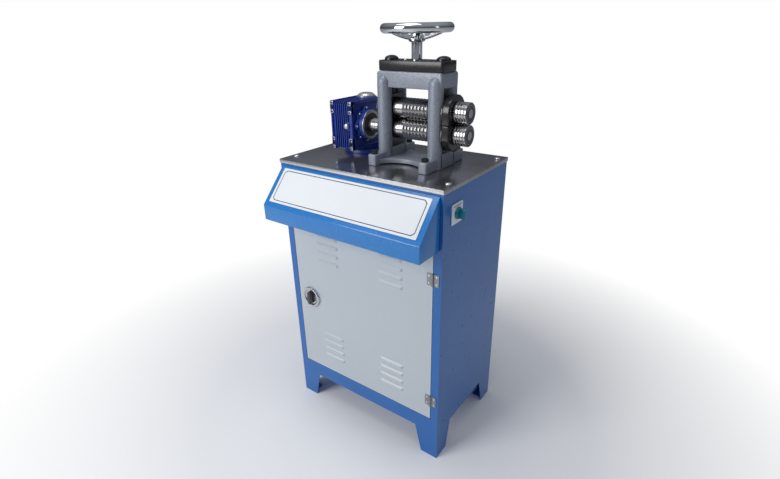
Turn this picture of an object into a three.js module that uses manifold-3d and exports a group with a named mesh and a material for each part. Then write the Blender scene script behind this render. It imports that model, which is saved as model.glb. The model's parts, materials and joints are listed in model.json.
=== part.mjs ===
// Motor-driven rolling mill for jewellers, on a sheet-steel cabinet.
// A cast frame carries two grooved rolls. A worm gearbox on the table turns the lower roll, and a pair of
// long-toothed gears turns the upper one. The handwheel closes the rolls through a gear train and two screws.
// Millimetres, +Z up, the front faces -Y. The origin is on the floor, under the middle of the whole machine.

import * as THREE from 'three';
import { mergeVertices } from 'three/addons/utils/BufferGeometryUtils.js';
import Module from 'manifold-3d';

const wasm = await Module();
wasm.setup();

// Driving dimensions

const seatGap = 0.3; // between pieces that rest on or are cut around each other
const runGap = 0.6; // radial, between a turning piece and its bore

const facets = { small: 10, medium: 16, large: 20, rim: 28 }; // sides of the many-sided rounds

// Cabinet and table
const tableWidth = 600;
const tableDepth = 394;
const tableHeight = 922; // floor to the working surface
const tableThickness = 12;
const tableOverhang = 3; // table edge past the cabinet walls
const sheet = 2; // cabinet steel
const subframe = { width: 32, thickness: 5 };
const footHeight = 102;
const footTop = { front: 83, side: 84 }; // foot width where it leaves the wall
const footSole = { front: 59, side: 58, thickness: 3 };
const shelfHeight = 150;

// Door
const door = { stile: 25, bottom: 157, underHood: 5, gap: 2, sheet: 1.5, flange: 16 };
const louvre = { length: 90, height: 13, depth: 5, pitch: 30, perGroup: 4, wall: 1.2, fromSide: 146, fromBottom: 61, fromTop: 150 };
const hinge = { height: 38, leafWidth: 17.5, leafThickness: 1.6, knuckleR: 3.4, pinR: 1.7, fromBottom: 73, fromTop: 86 };
const lock = { fromSide: 56, belowMiddle: 6, radius: 38, depth: 8, gripLength: 49, gripWidth: 15, gripDepth: 14, spindleR: 5 };
const lockTongue = { overlap: 9, width: 14, thickness: 3, depthIn: 8 };

// Console hood over the door
const hood = { insetX: 12, underTable: 17, slopeDrop: 105, lip: 50, reach: 97 };
const namePlate = { marginX: 18, height: 117, thickness: 1.5, drop: 11 };

// Rotary switch on the right wall
const rotary = { fromFront: 70, underTable: 81, plate: 58, plateThickness: 4, knobR: 17, knobDepth: 24, bodySize: 44, bodyDepth: 50, hole: 15 };
const vents = { length: 60, height: 5, pitch: 16, rows: 6, offsetX: 110, fromTop: 270 };
const gland = { x: 200, z: 230, r: 14, reach: 22 };

// Mill head
const headX = 89; // head's centre from the table's centre
const head = { halfWidth: 107, halfDepth: 58.7, floor: 16, underGap: 3, sill: 44, beamBottom: 217, beamTop: 261 };
const column = { width: 42, domeStart: 230 };
const beamHalfDepth = 46;
const windowHalf = 32;
const lug = { inner: 73, outer: 102, reach: 107, height: 33, boltR: 6, headR: 10, headHeight: 9 };
const webArch = { edge: 85, apex: 46 };

// Rolls
const rollR = 30;
const rollLength = 128;
const rollGap = 0.5; // between the rolls, closed
const rollNip = 126.25; // above the table
const rollLift = 6; // how far the upper roll opens
const plainLength = 33; // smooth stretch at the left of each roll
const grooveCount = 8;
const grooveWidest = 9.5;
const grooveLand = 1.6;
const journalR = 16;
const gearSeatR = 14;
const extensionSeatR = 12;
const chock = { halfHeight: 24, flangeR: 47, flangeThickness: 3, head: 16, collarR: 14, collarHeight: 5 };
const rollGear = { teeth: 14, width: 15, addendum: 4.4, dedendum: 5 };
const seamHalf = 0.4; // half the slot between the upper and lower guards
const cover = { radius: 48, wall: 3, depth: 22 };
const extension = { length: 39, grooves: 4, grooveR: 3.4, seat: 1.5 };

// Screw-down train in the black case on top
const caseHeight = 28;
const caseHalfDepth = 38.7;
const caseWall = 3.2;
const caseTopWall = 4;
const trainModule = 2;
const teeth = { pinion: 17, idler: 27, screw: 15 }; // odd, so that a gap always faces a tooth
const trainWidth = 12;
const screwR = 10;
const idlerPinR = 6;
const capDome = { radius: 20, height: 12 };

// Handwheel
const wheel = { radius: 101, rimR: 13, centre: 371, hubBottom: 335, hubR: 23, shaftR: 15, spokes: 5 };

// Gearbox
const gearboxX = -145.5; // worm axis from the table's centre
const box = { width: 85, front: 67, rear: 108, halfHeight: 74, wall: 7, recess: 7 };
const pad = { width: 14, height: 38, holeR: 4.5 };
const fins = { count: 7, width: 2.6 };
const coverFlange = { lobes: 8, lobeR: 55, ringR: 45, neck: 25, seat: 8, recessR: 37 };
const centreDistance = 63;
const wormWheel = { teeth: 30, module: 3.25, width: 22 };
const worm = { rootR: 10, pitchR: 14.25, outerR: 16.5, length: 60, turns: 3, stepsPerTurn: 9 };
const couplingR = 22;
const inputFlange = { radius: 80, thickness: 12, neckR: 56 };
const tableHoleR = 48;

// Motor under the table
const motor = { radius: 68, finHeight: 8, length: 205, boreR: 41, flangeR: 80, flangeThickness: 13, fins: 14 };
const motorCowl = { length: 52, wall: 2, play: 1.4 };
const terminals = { width: 90, height: 90, depth: 42, fromFlange: 40 };
const motorShaftR = 9;

// Sizes that follow from the ones above

const beyond = 500; // past every piece, for cuts that run right through
const wallX = tableWidth / 2 - tableOverhang; // outer face of the side walls
const wallY = tableDepth / 2 - tableOverhang; // outer face of the front and back
const underTable = tableHeight - tableThickness;
const hoodWidth = tableWidth - 2 * hood.insetX;
const hoodTop = tableHeight - hood.underTable;
const hoodLipTop = hoodTop - hood.slopeDrop;
const hoodBottom = hoodLipTop - hood.lip;
const openingHalf = wallX - door.stile;
const doorHalf = openingHalf - door.gap;
const doorTop = hoodBottom - door.underHood;
const openingBottom = door.bottom - door.gap;
const openingTop = doorTop + door.gap;
const lockX = -doorHalf + lock.fromSide;
const lockZ = (door.bottom + doorTop) / 2 - lock.belowMiddle;
const tongueLength = lock.fromSide + door.gap + lockTongue.overlap;
const hingeLow = door.bottom + hinge.fromBottom;
const hingeHigh = doorTop - hinge.fromTop;
const switchY = -wallY + rotary.fromFront;
const switchZ = tableHeight - rotary.underTable;

// Materials

const finish = (color, roughness, metalness) => new THREE.MeshStandardMaterial({ color, roughness, metalness });
const bluePaint = finish(0x1f62ad, 0.4, 0.0);
const greyPaint = finish(0xb4bcc4, 0.45, 0.0);
const whitePlate = finish(0xe6e9ee, 0.3, 0.0);
const tableSteel = finish(0x8c8c90, 0.3, 0.9);
const hammerGrey = finish(0x8d96a3, 0.5, 0.3);
const blackPaint = finish(0x1d1d1f, 0.5, 0.0);
const brightSteel = finish(0xc4c4c6, 0.18, 1.0);
const chrome = finish(0xd8d9dc, 0.06, 1.0);
const darkSteel = finish(0x4a4b4e, 0.45, 0.8);
const gearboxBlue = finish(0x1d3a92, 0.4, 0.0);
const bareAluminium = finish(0xb2b4b6, 0.35, 0.9);
const bronze = finish(0xb07a3a, 0.35, 0.9);
const motorGrey = finish(0x5d6a78, 0.5, 0.1);
const darkPlastic = finish(0x23262a, 0.5, 0.0);
const tealKnob = finish(0x1f7d94, 0.4, 0.0);

// Solids: closed three.js geometries turned into manifolds, joined and cut, and turned back

function solid(geometry) {
  const bare = geometry.index ? geometry.toNonIndexed() : geometry.clone();
  for (const name of Object.keys(bare.attributes)) {
    if (name !== 'position') bare.deleteAttribute(name);
  }
  const merged = mergeVertices(bare, 1e-3);
  return new wasm.Manifold(
    new wasm.Mesh({
      numProp: 3,
      vertProperties: new Float32Array(merged.attributes.position.array),
      triVerts: new Uint32Array(merged.index.array),
    }),
  );
}

function mesh(name, body, material) {
  const { vertProperties, triVerts } = body.getMesh();
  const geometry = new THREE.BufferGeometry();
  geometry.setAttribute('position', new THREE.BufferAttribute(vertProperties, 3));
  geometry.setIndex(new THREE.BufferAttribute(triVerts, 1));
  geometry.computeVertexNormals();
  const made = new THREE.Mesh(geometry, material);
  made.name = name;
  return made;
}

const join = (...bodies) => bodies.flat().reduce((sum, next) => sum.add(next));
const cut = (body, ...tools) => tools.flat().reduce((left, tool) => left.subtract(tool), body);
const range = (count) => Array.from({ length: count }, (_, i) => i);

// Blocks, rods, turned profiles and plates, given by their limits along each axis

function block(x0, x1, y0, y1, z0, z1) {
  const shape = new THREE.BoxGeometry(x1 - x0, y1 - y0, z1 - z0);
  return solid(shape.translate((x0 + x1) / 2, (y0 + y1) / 2, (z0 + z1) / 2));
}

function turnAlong(axis, geometry) {
  if (axis === 'x') return geometry.rotateZ(-Math.PI / 2);
  if (axis === 'z') return geometry.rotateX(Math.PI / 2);
  return geometry;
}

// profile is a list of [distance along the axis, radius], starting and ending on the axis
function turned(axis, profile, segments, at = [0, 0, 0]) {
  const points = profile.map(([along, radius]) => new THREE.Vector2(radius, along));
  return solid(turnAlong(axis, new THREE.LatheGeometry(points, segments)).translate(...at));
}

function rod(axis, radius, from, to, segments = facets.medium, at = [0, 0, 0]) {
  return turned(axis, [[from, 0], [from, radius], [to, radius], [to, 0]], segments, at);
}

// A flat outline drawn across an axis and given a thickness along it. The outline's own x and y are
// y and z for axis x, x and z for axis y, and x and y for axis z.
function plate(axis, outline, from, to, curveSegments = 8) {
  const shape = outline instanceof THREE.Shape ? outline : new THREE.Shape(outline.map(([u, v]) => new THREE.Vector2(u, v)));
  const geometry = new THREE.ExtrudeGeometry(shape, { depth: to - from, bevelEnabled: false, curveSegments });
  const m = new THREE.Matrix4();
  if (axis === 'x') m.set(0, 0, 1, from, 1, 0, 0, 0, 0, 1, 0, 0, 0, 0, 0, 1);
  else if (axis === 'y') m.set(1, 0, 0, 0, 0, 0, -1, to, 0, 1, 0, 0, 0, 0, 0, 1);
  else m.makeTranslation(0, 0, from);
  return solid(geometry.applyMatrix4(m));
}

function roundedOutline(x0, x1, y0, y1, r) {
  const shape = new THREE.Shape();
  shape.moveTo(x0 + r, y0);
  shape.lineTo(x1 - r, y0);
  shape.absarc(x1 - r, y0 + r, r, -Math.PI / 2, 0);
  shape.lineTo(x1, y1 - r);
  shape.absarc(x1 - r, y1 - r, r, 0, Math.PI / 2);
  shape.lineTo(x0 + r, y1);
  shape.absarc(x0 + r, y1 - r, r, Math.PI / 2, Math.PI);
  shape.lineTo(x0, y0 + r);
  shape.absarc(x0 + r, y0 + r, r, Math.PI, Math.PI * 1.5);
  return shape;
}

function gearOutline(count, pitchR, addendum, dedendum, toothShare = 0.42, turn = 0) {
  const step = (2 * Math.PI) / count;
  const half = (step * toothShare) / 2;
  const corners = [[-half * 1.45, pitchR - dedendum], [-half * 0.55, pitchR + addendum], [half * 0.55, pitchR + addendum], [half * 1.45, pitchR - dedendum]];
  return range(count).flatMap((i) =>
    corners.map(([angle, r]) => {
      const a = turn + i * step + angle;
      return [r * Math.cos(a), r * Math.sin(a)];
    }),
  );
}

const mirrorX = (body) => body.mirror([1, 0, 0]);
const mirrorY = (body) => body.mirror([0, 1, 0]);
const fourCorners = (body) => [body, mirrorX(body), mirrorY(body), mirrorX(mirrorY(body))];

const machine = new THREE.Group();

// Cabinet

function wallOutline(half, top, footWidth, soleWidth) {
  return [
    [-half, 0], [-half + soleWidth, 0], [-half + footWidth, footHeight],
    [half - footWidth, footHeight], [half - soleWidth, 0], [half, 0], [half, top], [-half, top],
  ];
}

function frontFrame() {
  const face = plate('y', wallOutline(wallX, underTable, footTop.front, footSole.front), -wallY, -wallY + sheet);
  const opening = block(-openingHalf, openingHalf, -wallY - 1, 0, openingBottom, openingTop);
  const wiring = block(-hoodWidth / 2 + 40, hoodWidth / 2 - 40, -wallY - 1, 0, hoodBottom + 25, hoodLipTop + 20);
  const stileReturn = block(-wallX + sheet, -openingHalf, -wallY + sheet, -wallY + sheet + 1.5, openingBottom, openingTop);
  return cut(join(face, stileReturn, mirrorX(stileReturn)), opening, wiring);
}

function sidePanel(side) {
  const innerFront = wallY - sheet;
  const wall = plate('x', wallOutline(innerFront, underTable, footTop.side, footSole.side), wallX - sheet, wallX);
  const sole = block(wallX - sheet - 40, wallX - sheet, -innerFront, -innerFront + 45, 0, footSole.thickness);
  const body = join(wall, sole, mirrorY(sole));
  return side > 0 ? body : mirrorX(body);
}

function backPanel() {
  const wall = plate('y', wallOutline(wallX, underTable, footTop.front, footSole.front), wallY - sheet, wallY);
  const slot = block(-vents.length / 2, vents.length / 2, wallY - 10, wallY + 10, 0, vents.height);
  const slots = range(vents.rows).flatMap((i) => [-vents.offsetX, vents.offsetX].map((x) => slot.translate([x, 0, underTable - vents.fromTop + i * vents.pitch])));
  const cableHole = rod('y', gland.r * 0.6, wallY - 10, wallY + 10, facets.small, [gland.x, 0, gland.z]);
  return cut(wall, slots, cableHole);
}

function subframeRing() {
  const outerX = wallX - sheet - seatGap;
  const outerY = wallY - sheet - seatGap;
  const ring = block(-outerX, outerX, -outerY, outerY, underTable - subframe.thickness, underTable);
  const hole = block(-outerX + subframe.width, outerX - subframe.width, -outerY + subframe.width, outerY - subframe.width, 0, tableHeight);
  return cut(ring, hole);
}

function tablePlate() {
  const outline = roundedOutline(-tableWidth / 2, tableWidth / 2, -tableDepth / 2, tableDepth / 2, 3);
  const top = plate('z', outline, underTable, tableHeight, 3);
  const input = rod('z', tableHoleR, underTable - 1, tableHeight + 1, facets.large, [gearboxX, centreDistance, 0]);
  const mounting = lugBoltPlaces().map(([x, y]) => rod('z', lug.boltR + seatGap, 0, tableHeight + 1, facets.small, [headX + x, y, 0]));
  return cut(top, input, mounting);
}

const shelf = block(-wallX + sheet + seatGap, wallX - sheet - seatGap, -wallY + sheet + seatGap + 1.5, wallY - sheet - seatGap, shelfHeight, shelfHeight + sheet);

machine.add(
  mesh('front_frame', frontFrame(), bluePaint),
  mesh('side_panel_left', sidePanel(-1), bluePaint),
  mesh('side_panel_right', cut(sidePanel(1), block(0, beyond, switchY - rotary.hole, switchY + rotary.hole, switchZ - rotary.hole, switchZ + rotary.hole)), bluePaint),
  mesh('back_panel', backPanel(), bluePaint),
  mesh('floor_shelf', shelf, bluePaint),
  mesh('table_subframe', subframeRing(), bluePaint),
  mesh('table_plate', tablePlate(), tableSteel),
);

// Cable gland in the back wall

function cableGland() {
  const { r, reach } = gland;
  const nut = new THREE.CylinderGeometry(r, r, 6, 6).translate(0, wallY + seatGap + 3, 0);
  const neck = turned('y', [[wallY - sheet - 8, 0], [wallY - sheet - 8, r * 0.5], [wallY + 5, r * 0.5], [wallY + 5, r * 0.8], [wallY + reach * 0.6, r * 0.8], [wallY + reach, r * 0.55], [wallY + reach, 0]], facets.small);
  const bore = rod('y', r * 0.3, 0, wallY + reach + 5, facets.small);
  return cut(join(solid(nut), neck), bore).translate([gland.x, 0, gland.z]);
}
machine.add(mesh('cable_gland', cableGland(), darkPlastic));

// Console hood: a folded box with a sloping face, open at the back

const hoodSlope = Math.atan2(hood.slopeDrop, hood.reach);

function consoleHood() {
  const back = -wallY - seatGap;
  const front = -wallY - hood.reach;
  const outside = [[back, hoodBottom], [back, hoodTop], [front, hoodLipTop], [front, hoodBottom]];
  const t = sheet;
  const slopeInset = t / Math.cos(hoodSlope);
  const inside = [[back + 5, hoodBottom + t], [back + 5, hoodTop - slopeInset + 5 * Math.tan(hoodSlope)], [front + t, hoodLipTop + t * Math.tan(hoodSlope) - slopeInset], [front + t, hoodBottom + t]];
  return cut(plate('x', outside.reverse(), -hoodWidth / 2, hoodWidth / 2), plate('x', inside.reverse(), -hoodWidth / 2 + t, hoodWidth / 2 - t));
}

const console_ = new THREE.Group();
console_.position.set(0, -wallY, hoodTop);
console_.rotation.x = hoodSlope;
const plateHalf = hoodWidth / 2 - namePlate.marginX;
const plateOutline = roundedOutline(-plateHalf, plateHalf, -namePlate.drop - namePlate.height, -namePlate.drop, 3);
const platePiece = plate('z', plateOutline, seatGap, seatGap + namePlate.thickness, 2);
console_.add(mesh('console_plate', platePiece, whitePlate));
machine.add(mesh('console_hood', consoleHood(), bluePaint), console_);

// Door: a pressed tray with four groups of louvres, two surface hinges and a round turn lock

const doorFace = -wallY;

function louvrePlaces() {
  const x0 = doorHalf - louvre.fromSide;
  return [door.bottom + louvre.fromBottom, doorTop - louvre.fromTop].flatMap((z0) =>
    [-x0, x0].flatMap((x) => range(louvre.perGroup).map((i) => [x, z0 + i * louvre.pitch])),
  );
}

// A hood pressed out of the sheet and open along its lower edge, with sloping ends. The outline is drawn
// across its length, in depth and height.
function louvrePressing(outline, inset) {
  const half = louvre.length / 2 - inset;
  const bar = plate('x', outline.reverse(), -half - 1, half + 1);
  const ends = [[-half - 1, 4], [-half, 0], [-half + 9, -louvre.depth - 1], [half - 9, -louvre.depth - 1], [half, 0], [half + 1, 4]];
  return bar.intersect(plate('z', ends, -20, 20));
}

function louvreHood() {
  const { depth, height } = louvre;
  return louvrePressing([[1, 0], [-depth, 0], [-depth * 0.8, height * 0.5], [1, height]], 0);
}

function louvreHollow() {
  const { depth, height, wall } = louvre;
  const inside = height - wall * 2;
  const back = door.sheet + 1;
  return louvrePressing([[back, 0], [-0.1, 0], [-0.1, -1], [wall - depth, -1], [(wall - depth) * 0.8, inside * 0.5], [-0.1, inside], [back, inside]], wall * 1.5);
}

function doorTray() {
  const d = door.sheet;
  const tray = cut(
    block(-doorHalf, doorHalf, 0, door.flange, door.bottom, doorTop),
    block(-doorHalf + d, doorHalf - d, d, door.flange + 1, door.bottom + d, doorTop - d),
  );
  const bulges = louvrePlaces().map(([x, z]) => louvreHood().translate([x, 0, z]));
  const hollows = louvrePlaces().map(([x, z]) => louvreHollow().translate([x, 0, z]));
  const tongueSlot = block(-doorHalf - 2, -doorHalf + 8, d + 0.5, door.flange + 1, lockZ - 48, lockZ + 12);
  const spindle = rod('y', lock.spindleR + runGap, -10, 20, facets.small, [lockX, 0, lockZ]);
  return cut(join(tray, bulges), hollows, tongueSlot, spindle);
}

const knuckleY = -hinge.knuckleR - 0.2; // hinge axis, in front of the door's face
const knuckleX = doorHalf + door.gap / 2;

// Five knuckles share a pin: the frame leaf has the 1st, 3rd and 5th, and the pin is pressed into them
function hingeLeaf(side, z) {
  const { height, leafWidth, leafThickness, knuckleR, pinR } = hinge;
  const knuckle = height / 5;
  const kept = side > 0 ? [0, 2, 4] : [1, 3];
  const near = knuckleX + side * (knuckleR + seatGap + 0.3);
  const far = knuckleX + side * (leafWidth + door.gap);
  const y1 = -seatGap;
  const leaf = block(Math.min(near, far), Math.max(near, far), y1 - leafThickness, y1, z - height / 2, z + height / 2);
  const parts = kept.map((i) => {
    const z0 = z - height / 2 + i * knuckle + 0.2;
    const z1 = z0 + knuckle - 0.4;
    const barrel = rod('z', knuckleR, z0, z1, facets.small, [knuckleX, knuckleY, 0]);
    const strap = block(Math.min(knuckleX + side * 1.9, near + side), Math.max(knuckleX + side * 1.9, near + side), y1 - leafThickness, y1, z0, z1);
    return join(barrel, strap);
  });
  const pin = (radius, reach) => rod('z', radius, z - height / 2 - reach, z + height / 2 + reach, facets.small, [knuckleX, knuckleY, 0]);
  return side > 0 ? join(leaf, parts, pin(pinR, 1)) : cut(join(leaf, parts), pin(pinR + 0.4, 3));
}


function lockRosette() {
  const { radius, depth, spindleR } = lock;
  const y0 = -seatGap;
  const dish = turned('y', [[y0, 0], [y0, radius], [y0 - depth * 0.6, radius], [y0 - depth, radius - 4], [y0 - depth, radius - 7], [y0 - 3, radius - 11], [y0 - 3, 0]].reverse(), facets.large, [lockX, 0, lockZ]);
  return cut(dish, rod('y', spindleR + runGap, -30, 10, facets.small, [lockX, 0, lockZ]));
}

function lockHandle() {
  const { gripLength, gripWidth, gripDepth, spindleR } = lock;
  const y1 = -3 - seatGap * 2;
  const outline = roundedOutline(-gripWidth / 2, gripWidth / 2, -gripLength / 2, gripLength / 2, gripWidth / 2 - 1);
  const grip = plate('y', outline, y1 - gripDepth, y1, 4);
  const spindle = rod('y', spindleR, y1 - 1, lockTongue.depthIn - seatGap, facets.small);
  return join(grip, spindle).translate([lockX, 0, lockZ]);
}

// The tongue hangs down when the lock is open, and turns left behind the frame to lock
function lockTongueBar() {
  const { width, thickness, depthIn } = lockTongue;
  return block(lockX - width / 2, lockX + width / 2, depthIn, depthIn + thickness, lockZ - tongueLength, lockZ + 9);
}

const doorGroup = new THREE.Group();
doorGroup.position.set(0, doorFace, 0);
doorGroup.add(
  mesh('door', doorTray(), greyPaint),
  mesh('lower_hinge_frame_leaf', hingeLeaf(1, hingeLow), darkSteel),
  mesh('lower_hinge_door_leaf', hingeLeaf(-1, hingeLow), darkSteel),
  mesh('upper_hinge_frame_leaf', hingeLeaf(1, hingeHigh), darkSteel),
  mesh('upper_hinge_door_leaf', hingeLeaf(-1, hingeHigh), darkSteel),
  mesh('lock_rosette', lockRosette(), darkSteel),
  mesh('lock_handle', lockHandle(), darkSteel),
  mesh('lock_tongue', lockTongueBar(), brightSteel),
);
machine.add(doorGroup);

// Rotary switch

function switchKnob() {
  const { knobR, knobDepth, plateThickness } = rotary;
  const x0 = plateThickness + seatGap * 2;
  const disc = turned('x', [[x0, 0], [x0, knobR], [x0 + 6, knobR - 1], [x0 + 6, 0]], facets.medium);
  const grip = block(x0 + 5, x0 + knobDepth, -4.5, 4.5, -knobR + 2, knobR - 2);
  return join(disc, grip);
}

const switchGroup = new THREE.Group();
switchGroup.position.set(wallX, switchY, switchZ);
const switchHalf = rotary.plate / 2;
const bodyHalf = rotary.bodySize / 2;
const switchPlate = plate('x', roundedOutline(-switchHalf, switchHalf, -switchHalf, switchHalf, 4), seatGap, rotary.plateThickness, 3);
const switchNeck = block(-sheet - seatGap, seatGap, 1 - rotary.hole, rotary.hole - 1, 1 - rotary.hole, rotary.hole - 1);
const switchCan = block(-sheet - rotary.bodyDepth, -sheet - seatGap, -bodyHalf, bodyHalf, -bodyHalf, bodyHalf);
switchGroup.add(
  mesh('switch_plate', switchPlate, whitePlate),
  mesh('switch_body', join(switchNeck, switchCan), darkPlastic),
  mesh('switch_knob', switchKnob(), tealKnob),
);
machine.add(switchGroup);

// Mill head: everything in it is measured from its centre on the table

const headGroup = new THREE.Group();
headGroup.position.set(headX, 0, tableHeight);
const columnR = column.width / 2;
const columnX = head.halfWidth - columnR;
const columnY = head.halfDepth - columnR;
const openingX = head.halfWidth - column.width;
const windowTop = head.beamBottom + 4;
const screwX = columnX;

function lugBoltPlaces() {
  const x = (lug.inner + lug.outer) / 2;
  const y = lug.reach - 15;
  return [[-x, -y], [x, -y], [-x, y], [x, y]];
}

// The base web's front edge is hollowed between the lugs
function webOutline() {
  const sag = webArch.edge - webArch.apex;
  const radius = (lug.inner ** 2 + sag ** 2) / (2 * sag);
  const centre = webArch.apex + radius;
  const spread = Math.asin(lug.inner / radius);
  const shape = new THREE.Shape();
  shape.moveTo(-lug.inner, -webArch.edge);
  shape.absarc(0, -centre, radius, Math.PI / 2 + spread, Math.PI / 2 - spread, true);
  shape.lineTo(lug.inner + 6, -webArch.edge);
  shape.lineTo(lug.inner + 6, 0);
  shape.lineTo(-lug.inner - 6, 0);
  shape.lineTo(-lug.inner - 6, -webArch.edge);
  return shape;
}

function millFrame() {
  const { halfWidth, halfDepth, floor, underGap, sill, beamBottom, beamTop } = head;
  const web = plate('z', webOutline(), underGap, floor, 8);
  const base = block(-halfWidth + 1, halfWidth - 1, -halfDepth + 12, halfDepth - 12, underGap, floor);
  const sillBar = block(openingX, halfWidth, -columnY - 2, columnY + 2, 0, sill);
  const dome = [68, 45, 22].map((d) => (d * Math.PI) / 180).map((a) => [column.domeStart + columnR * Math.cos(a), columnR * Math.sin(a)]);
  const pillar = join(
    turned('z', [[0, 0], [0, columnR], [column.domeStart, columnR], ...dome, [column.domeStart + columnR, 0]], facets.large, [columnX, -columnY, 0]),
    block(openingX, halfWidth, -columnY - 1, -windowHalf, 0, beamBottom + 10),
  );
  const lugBlock = cut(
    plate('z', roundedOutline(lug.inner, lug.outer, -lug.reach, -columnY, 5), 0, lug.height, 2),
    rod('z', lug.boltR + seatGap, -1, lug.height + 1, facets.small, [(lug.inner + lug.outer) / 2, -lug.reach + 15, 0]),
  );
  const beam = plate('y', roundedOutline(-halfWidth, halfWidth, beamBottom, beamTop, 9), -beamHalfDepth, beamHalfDepth, 4);
  const beamFoot = block(-halfWidth, halfWidth, -beamHalfDepth, beamHalfDepth, beamBottom, beamBottom + 20);
  const screwBores = [-1, 1].map((s) => rod('z', screwR + runGap, beamBottom - 5, beamTop + 5, facets.medium, [s * screwX, 0, 0]));
  const window = block(openingX - 5, beyond, -windowHalf, windowHalf, sill, windowTop);
  const pinSeats = [-1, 1].map((s) => rod('z', idlerPinR, beamTop - 4, beamTop + caseHeight - caseTopWall - 1, facets.small, [s * idlerX, 0, 0]));
  const body = join(web, mirrorY(web), base, sillBar, mirrorX(sillBar), fourCorners(pillar), fourCorners(lugBlock), beam, beamFoot);
  return join(cut(body, window, mirrorX(window), screwBores, shaftFoot()), pinSeats);
}

function shaftFoot() {
  return rod('z', wheel.shaftR * 0.6 + runGap, head.beamTop - 12, head.beamTop + 1, facets.small);
}

function lugBolt(corner) {
  const z = lug.height + seatGap;
  const shank = turned('z', [[-tableThickness - 10, 0], [-tableThickness - 10, lug.boltR], [z, lug.boltR], [z, 0]], facets.small);
  const hexHead = solid(new THREE.CylinderGeometry(lug.headR, lug.headR, lug.headHeight, 6).rotateX(Math.PI / 2).translate(0, 0, z + lug.headHeight / 2));
  const nut = solid(new THREE.CylinderGeometry(lug.headR, lug.headR, 8, 6).rotateX(Math.PI / 2).translate(0, 0, -tableThickness - 4 - seatGap));
  const [x, y] = lugBoltPlaces()[corner];
  return join(shank, hexHead, nut).translate([x, y, 0]);
}

// Rolls and what turns with them

const lowerZ = rollNip - rollR - rollGap / 2;
const upperZ = rollNip + rollR + rollGap / 2;
const rollPitch = upperZ - lowerZ;
const flangeEnd = head.halfWidth + seatGap + chock.flangeThickness;
const coverEnd = flangeEnd + seatGap + cover.depth;
const extensionStart = coverEnd + extension.seat;
const extensionEnd = extensionStart + extension.length;

function groovedBarrel() {
  const half = rollLength / 2;
  const room = rollLength - plainLength - grooveLand;
  const shrink = (2 * (grooveWidest * grooveCount + grooveLand * grooveCount - room)) / (grooveCount * (grooveCount - 1));
  const points = [[-half, 0], [-half, rollR - 1.5], [-half + 1.5, rollR]];
  let x = -half + plainLength;
  for (let i = 0; i < grooveCount; i += 1) {
    const wide = grooveWidest - i * shrink;
    points.push([x, rollR], [x + wide / 2, rollR - wide * 0.42], [x + wide, rollR]);
    x += wide + grooveLand;
  }
  points.push([half - 1.5, rollR], [half, rollR - 1.5], [half, 0]);
  return turned('x', points, facets.medium);
}

function roll(leftEnd) {
  const half = rollLength / 2;
  const axle = turned('x', [
    [leftEnd, 0], [leftEnd, gearSeatR], [-head.halfWidth - 4, gearSeatR], [-head.halfWidth - 4, journalR], [-half + 1, journalR],
    [half - 1, journalR], [flangeEnd + 1, journalR], [flangeEnd + 1, gearSeatR], [coverEnd - 2, gearSeatR],
    [coverEnd - 2, extensionSeatR], [extensionEnd + 1, extensionSeatR], [extensionEnd + 1, 0],
  ], facets.medium);
  return join(groovedBarrel(), axle);
}

function rollGearBody(turn) {
  const start = flangeEnd + 3;
  const outline = gearOutline(rollGear.teeth, rollPitch / 2, rollGear.addendum, rollGear.dedendum, 0.4, turn);
  return cut(plate('x', outline, start, start + rollGear.width), rod('x', gearSeatR + seatGap, start - 1, start + rollGear.width + 1, facets.medium));
}

function extensionRoll() {
  const points = [[extensionStart, 0], [extensionStart, rollR - 1], [extensionStart + 1, rollR]];
  const pitch = (extension.length - 4) / extension.grooves;
  for (let i = 0; i < extension.grooves; i += 1) {
    const middle = extensionStart + 2 + pitch * (i + 0.5);
    const r = extension.grooveR;
    points.push([middle - r, rollR], [middle, rollR - r * 0.8], [middle + r, rollR]);
  }
  points.push([extensionEnd - 1, rollR], [extensionEnd, rollR - 1], [extensionEnd, 0]);
  return cut(turned('x', points, facets.medium), rod('x', extensionSeatR + seatGap, 0, extensionEnd + 10, facets.medium));
}

// A bearing block slides in the frame's window and carries a round flange outside it. Its bore is lined.
function bearingBlock(zAxis, side) {
  const upper = side > 0;
  const inner = openingX + 1;
  const low = upper ? zAxis - chock.halfHeight : head.sill + seatGap;
  const high = upper ? zAxis + chock.halfHeight + chock.head : zAxis + chock.halfHeight;
  const y = windowHalf - seatGap;
  const bodyBlock = block(inner, head.halfWidth + seatGap + 0.5, -y, y, low, high);
  const flange = rod('x', chock.flangeR, head.halfWidth + seatGap, flangeEnd, facets.large, [0, 0, zAxis]);
  const seam = upper ? block(0, beyond, -beyond, beyond, -beyond, rollNip + seamHalf) : block(0, beyond, -beyond, beyond, rollNip - seamHalf, beyond);
  const bore = rod('x', journalR + runGap, 0, 300, facets.medium, [0, 0, zAxis]);
  return cut(join(bodyBlock, cut(flange, seam)), bore, upper ? hangingSlot(high) : []);
}

// The screw's collar runs in a T-slot in the top of the upper block, so the screw also lifts the roll
function hangingSlot(top) {
  const { collarR, collarHeight } = chock;
  const seat = top - chock.head + 4;
  const wide = collarR + runGap;
  const narrow = screwR + runGap;
  const slot = (half, z0, z1) => join(rod('z', half, z0, z1, facets.medium, [screwX, 0, 0]), block(screwX, beyond, -half, half, z0, z1));
  return [slot(wide, seat, seat + collarHeight + seatGap * 2), slot(narrow, seat, top + 1)];
}

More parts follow.
